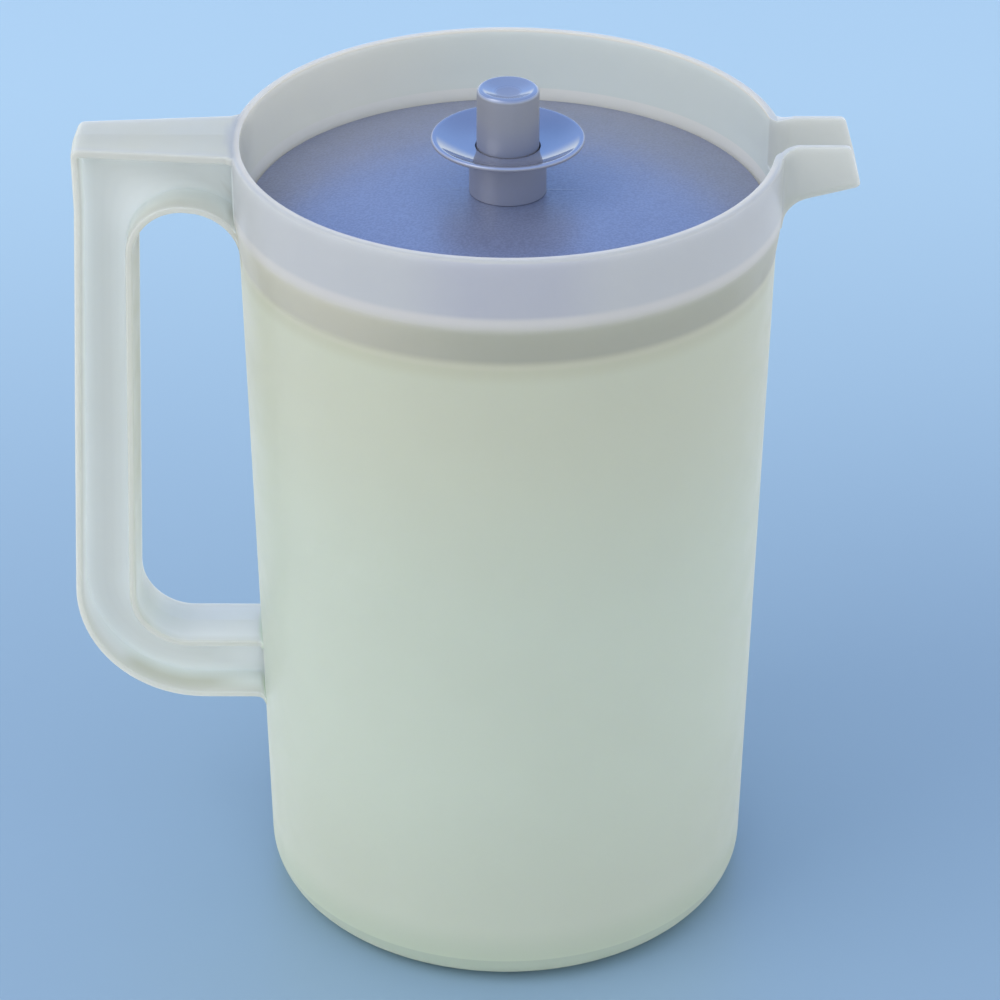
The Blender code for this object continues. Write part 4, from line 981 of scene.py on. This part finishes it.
room = {
    "floorBack": (178, 208, 223), "floorFront": (143, 171, 193), "bounce": (236, 238, 232),
    "floorHalf": 3000.0, "floorRun": (0.0, 0.64), "floorRoughness": 0.4,
    "zenith": (212, 222, 242), "horizon": (250, 249, 243), "level": 1.14, "skyRun": (0.05, 0.9),
    "mirrorLow": (222, 237, 255), "mirrorMiddle": (126, 173, 250), "mirrorHigh": (102, 147, 224),
    "mirrorLevel": 1.8, "mirrorRun": (0.05, 0.35, 0.8),
    "boxPlace": (-0.9, -0.5, 1.2), "boxAim": (0, 0, 0.12), "boxSize": 0.9, "boxPower": 6.0,
    "boxColour": (1.0, 0.98, 0.94),
}


def makeFloor(look):
    half = look["floorHalf"]
    grid = np.array([[[-half, -half, 0], [half, -half, 0]], [[-half, half, 0], [half, half, 0]]])
    floor = newObject("floor", gridMesh("floor", grid, False, False))
    material, tree, shader, spot = newMaterial("floorPaint")
    # the floor grows paler towards the back, as a painted reflection of the sky, and only the camera
    # sees its blue
    farther = ramp(tree, separate(tree, spot)[1], *look["floorRun"])
    shade = mixColour(tree, farther, linear(*look["floorFront"]), linear(*look["floorBack"]))
    seen = tree.nodes.new("ShaderNodeLightPath").outputs["Is Camera Ray"]
    tree.links.new(mixColour(tree, seen, linear(*look["bounce"]), shade), shader.inputs["Base Color"])
    shader.inputs["Roughness"].default_value = look["floorRoughness"]
    floor.data.materials.append(material)


def makeSky(look):
    # the sky's colour goes from the horizon's to the zenith's with the height of the direction
    # looked in, and what glossy plastic mirrors is a bluer sky over a pale horizon
    world = bpy.data.worlds.new("softSky")
    world.use_nodes = True
    bpy.context.scene.world = world
    tree = world.node_tree
    back = tree.nodes["Background"]
    height = separate(tree, tree.nodes.new("ShaderNodeTexCoord").outputs["Generated"])[2]
    horizon, zenith, low, middle, high = (
        linear(*look[name]) for name in ("horizon", "zenith", "mirrorLow", "mirrorMiddle", "mirrorHigh"))
    light = mixColour(tree, ramp(tree, height, *look["skyRun"]), horizon, zenith)
    blue = mixColour(tree, ramp(tree, height, *look["mirrorRun"][:2]), low, middle)
    blue = mixColour(tree, ramp(tree, height, *look["mirrorRun"][1:]), blue, high)
    mirrored = tree.nodes.new("ShaderNodeLightPath").outputs["Is Glossy Ray"]
    tree.links.new(mixColour(tree, mirrored, light, blue), back.inputs["Color"])
    strength = ramp(tree, mirrored, 0.0, 1.0, look["level"], look["mirrorLevel"])
    tree.links.new(strength, back.inputs["Strength"])


def addSoftbox(look):
    # one large soft lamp from the upper left
    lamp = bpy.data.lights.new("windowLight", "AREA")
    lamp.size = look["boxSize"]
    lamp.energy = look["boxPower"]
    lamp.color = look["boxColour"]
    item = newObject("windowLight", lamp)
    place = Vector(look["boxPlace"])
    aim = (Vector(look["boxAim"]) - place).to_track_quat("-Z", "Y")
    item.matrix_world = Matrix.Translation(place) @ aim.to_matrix().to_4x4()


view = {
    "tilt": 30.91, "turn": -0.13, "roll": 0.13, "place": (0.0, -0.9226, 0.6844), "lens": 123.6,
    "sensor": 36.0,
}


def makeCamera(look):
    # turn is measured from +Y towards +X, tilt downwards, and roll about the line of sight
    tilt, turn, roll = radians(look["tilt"]), radians(look["turn"]), radians(look["roll"])
    ahead = Vector((sin(turn) * cos(tilt), cos(turn) * cos(tilt), -sin(tilt)))
    right = Vector((cos(turn), -sin(turn), 0.0))
    up = right.cross(ahead)
    side = cos(roll) * right + sin(roll) * up
    top = -sin(roll) * right + cos(roll) * up
    lens = bpy.data.cameras.new("camera")
    lens.sensor_width = look["sensor"]
    lens.lens = look["lens"]
    camera = newObject("camera", lens)
    turned = Matrix((side, top, -ahead)).transposed().to_4x4()
    camera.matrix_world = Matrix.Translation(look["place"]) @ turned
    bpy.context.scene.camera = camera


makeFloor(room)
makeSky(room)
addSoftbox(room)
makeCamera(view)
bpy.context.scene.view_settings.view_transform = "Standard"
print("floor, light and camera set")
